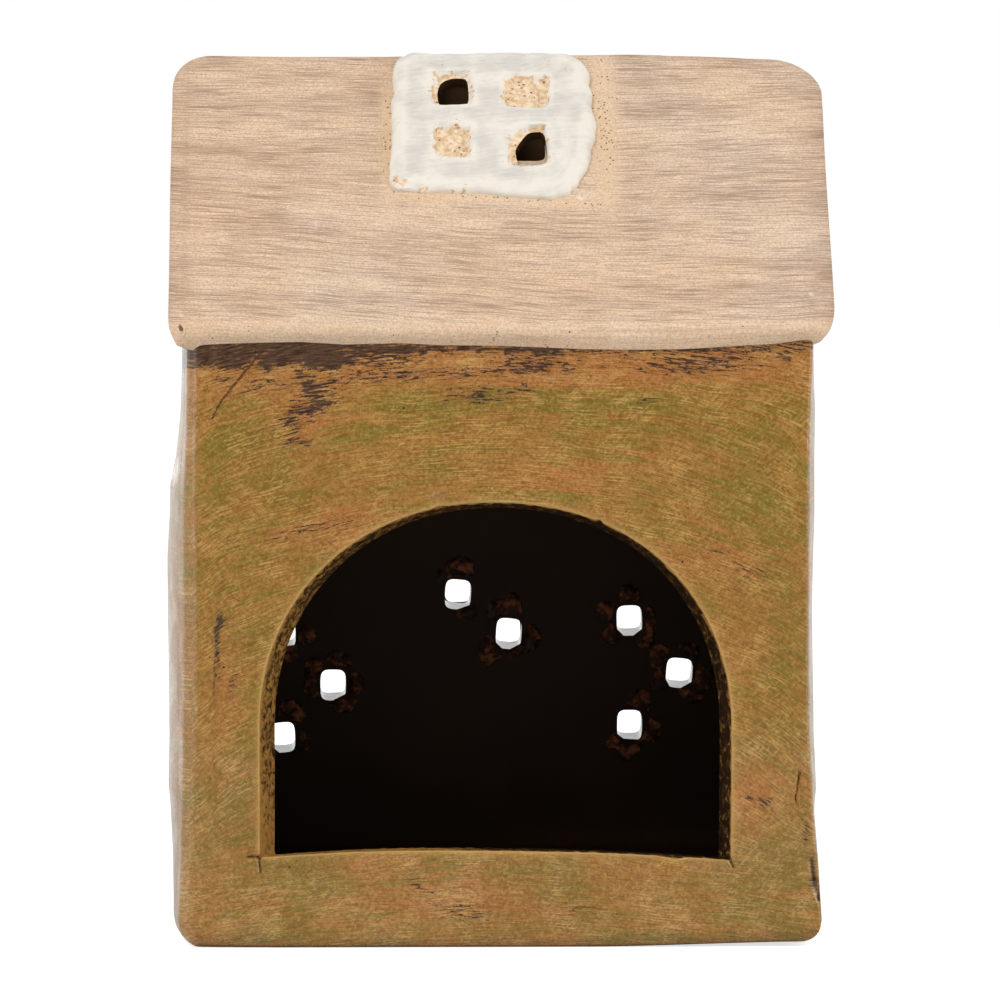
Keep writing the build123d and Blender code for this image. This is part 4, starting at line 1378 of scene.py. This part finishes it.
def makeFloor():
    half, near, far = studio["floorHalf"], studio["floorNear"], studio["floorFar"]
    corners = [(-half, near, 0), (half, near, 0), (half, far, 0), (-half, far, 0)]
    mesh = bpy.data.meshes.new("floor")
    mesh.from_pydata(corners, [], [(0, 1, 2, 3)])
    floor = bpy.data.objects.new("floor", mesh)
    bpy.context.scene.collection.objects.link(floor)
    material, tree, shader = newMaterial("paleStudioFloor")
    uniform = {"Base Color": linear("#e6e6e6"), "Roughness": 0.9, "Specular IOR Level": 0.0}
    for socket, value in {**uniform, "Emission Color": (1, 1, 1, 1)}.items():
        shader.inputs[socket].default_value = value
    seen = add(tree, "LightPath", out="Is Camera Ray")
    mirrored = add(tree, "LightPath", out="Is Glossy Ray")
    depth = add(tree, "SeparateXYZ", {0: add(tree, "TexCoord", out="Object")}, out="Y")
    sweep = add(tree, "MapRange", {0: depth, 1: 0.1, 2: 0.5, 3: 0.0, 4: studio["sweepGlow"]})  # bright far behind
    glow = add(tree, "Math", {0: seen, 1: studio["floorGlow"]}, operation="MULTIPLY")
    glow = add(tree, "Math", {0: mirrored, 1: sweep, 2: glow}, operation="MULTIPLY_ADD")
    tree.links.new(glow, shader.inputs["Emission Strength"])
    mesh.materials.append(material)


def makeWorld():
    # white for the camera; for reflections white behind and beside the house and dark towards the camera
    world = bpy.data.worlds.new("studio")
    bpy.context.scene.world = world
    world.use_nodes = True
    tree = world.node_tree
    background = tree.nodes["Background"]
    way = add(tree, "TexCoord", out="Generated")
    depth = add(tree, "SeparateXYZ", {0: way}, out="Y")
    shine = add(tree, "MapRange", {0: depth, 1: -0.45, 2: 0.25, 3: 0.02, 4: 1.0}, interpolation_type="SMOOTHSTEP")
    far = add(tree, "MapRange", {0: depth, 1: 0.7, 2: 0.98, 3: 0.0, 4: 0.5})
    shine = add(tree, "Math", {0: shine, 1: far}, operation="ADD")
    isCamera = add(tree, "LightPath", out="Is Camera Ray")
    isGlossy = add(tree, "LightPath", out="Is Glossy Ray")
    isThrough = add(tree, "LightPath", out="Is Transmission Ray")
    level = add(tree, "Mix", {0: isGlossy, 2: studio["fill"], 3: shine}, data_type="FLOAT")
    seen = add(tree, "Math", {0: isCamera, 1: isThrough}, operation="MAXIMUM")
    level = add(tree, "Mix", {0: seen, 2: level, 3: 1.0}, data_type="FLOAT")
    background.inputs["Color"].default_value = (1, 1, 1, 1)
    tree.links.new(level, background.inputs["Strength"])


lamps = {  # place, watts, width and height, all in metres
    "keySoftbox": ((-0.45, -0.85, 0.95), 7.4, 0.6, 0.6),
    "rightSoftbox": ((0.95, -0.45, 0.35), 5.6, 0.5, 0.9),
    "leftSoftbox": ((-1.0, -0.1, 0.4), 2.6, 0.5, 0.9),
}


def makeLamps():
    for name, (place, power, width, height) in lamps.items():
        light = bpy.data.lights.new(name, "AREA")
        light.shape = "RECTANGLE"
        light.energy, light.size, light.size_y = power, width, height
        lamp = bpy.data.objects.new(name, light)
        lamp.location = place
        lamp.rotation_euler = (Vector((0, 0, 0.06)) - Vector(place)).to_track_quat("-Z", "Y").to_euler()
        bpy.context.scene.collection.objects.link(lamp)


view = {
    "scale": 7.45,  # pixels to a millimetre at the rear wall, in a picture of 1000 pixels
    "middle": 501.5,  # pixel column of the house's middle line there
    "horizon": 70.5,  # pixel row of the camera's own height
    "distance": 1300.0,
    "height": 118.0,
    "aside": -34.0,  # the camera stands a little to the left
    "picture": 1000.0,
    "sensor": 36.0,
}


def makeCamera():
    # aims at the point of the rear wall's plane that lies in the middle of the picture
    half = view["picture"] / 2
    aimX = (half - view["middle"]) / view["scale"]
    aimZ = view["height"] - (half - view["horizon"]) / view["scale"]
    place = Vector((view["aside"], house["rear"] - view["distance"], view["height"]))
    aim = Vector((aimX, house["rear"], aimZ))
    lens = bpy.data.cameras.new("camera")
    lens.sensor_width = view["sensor"]
    lens.lens = view["scale"] * (aim - place).length * view["sensor"] / view["picture"]
    lens.clip_end = 20
    camera = bpy.data.objects.new("camera", lens)
    camera.location = place * mm
    camera.rotation_euler = (aim - place).to_track_quat("-Z", "Y").to_euler()
    bpy.context.scene.collection.objects.link(camera)
    bpy.context.scene.camera = camera


makeFloor()
makeWorld()
makeLamps()
makeCamera()
bpy.context.scene.view_settings.view_transform = "Standard"
print("studio ready")
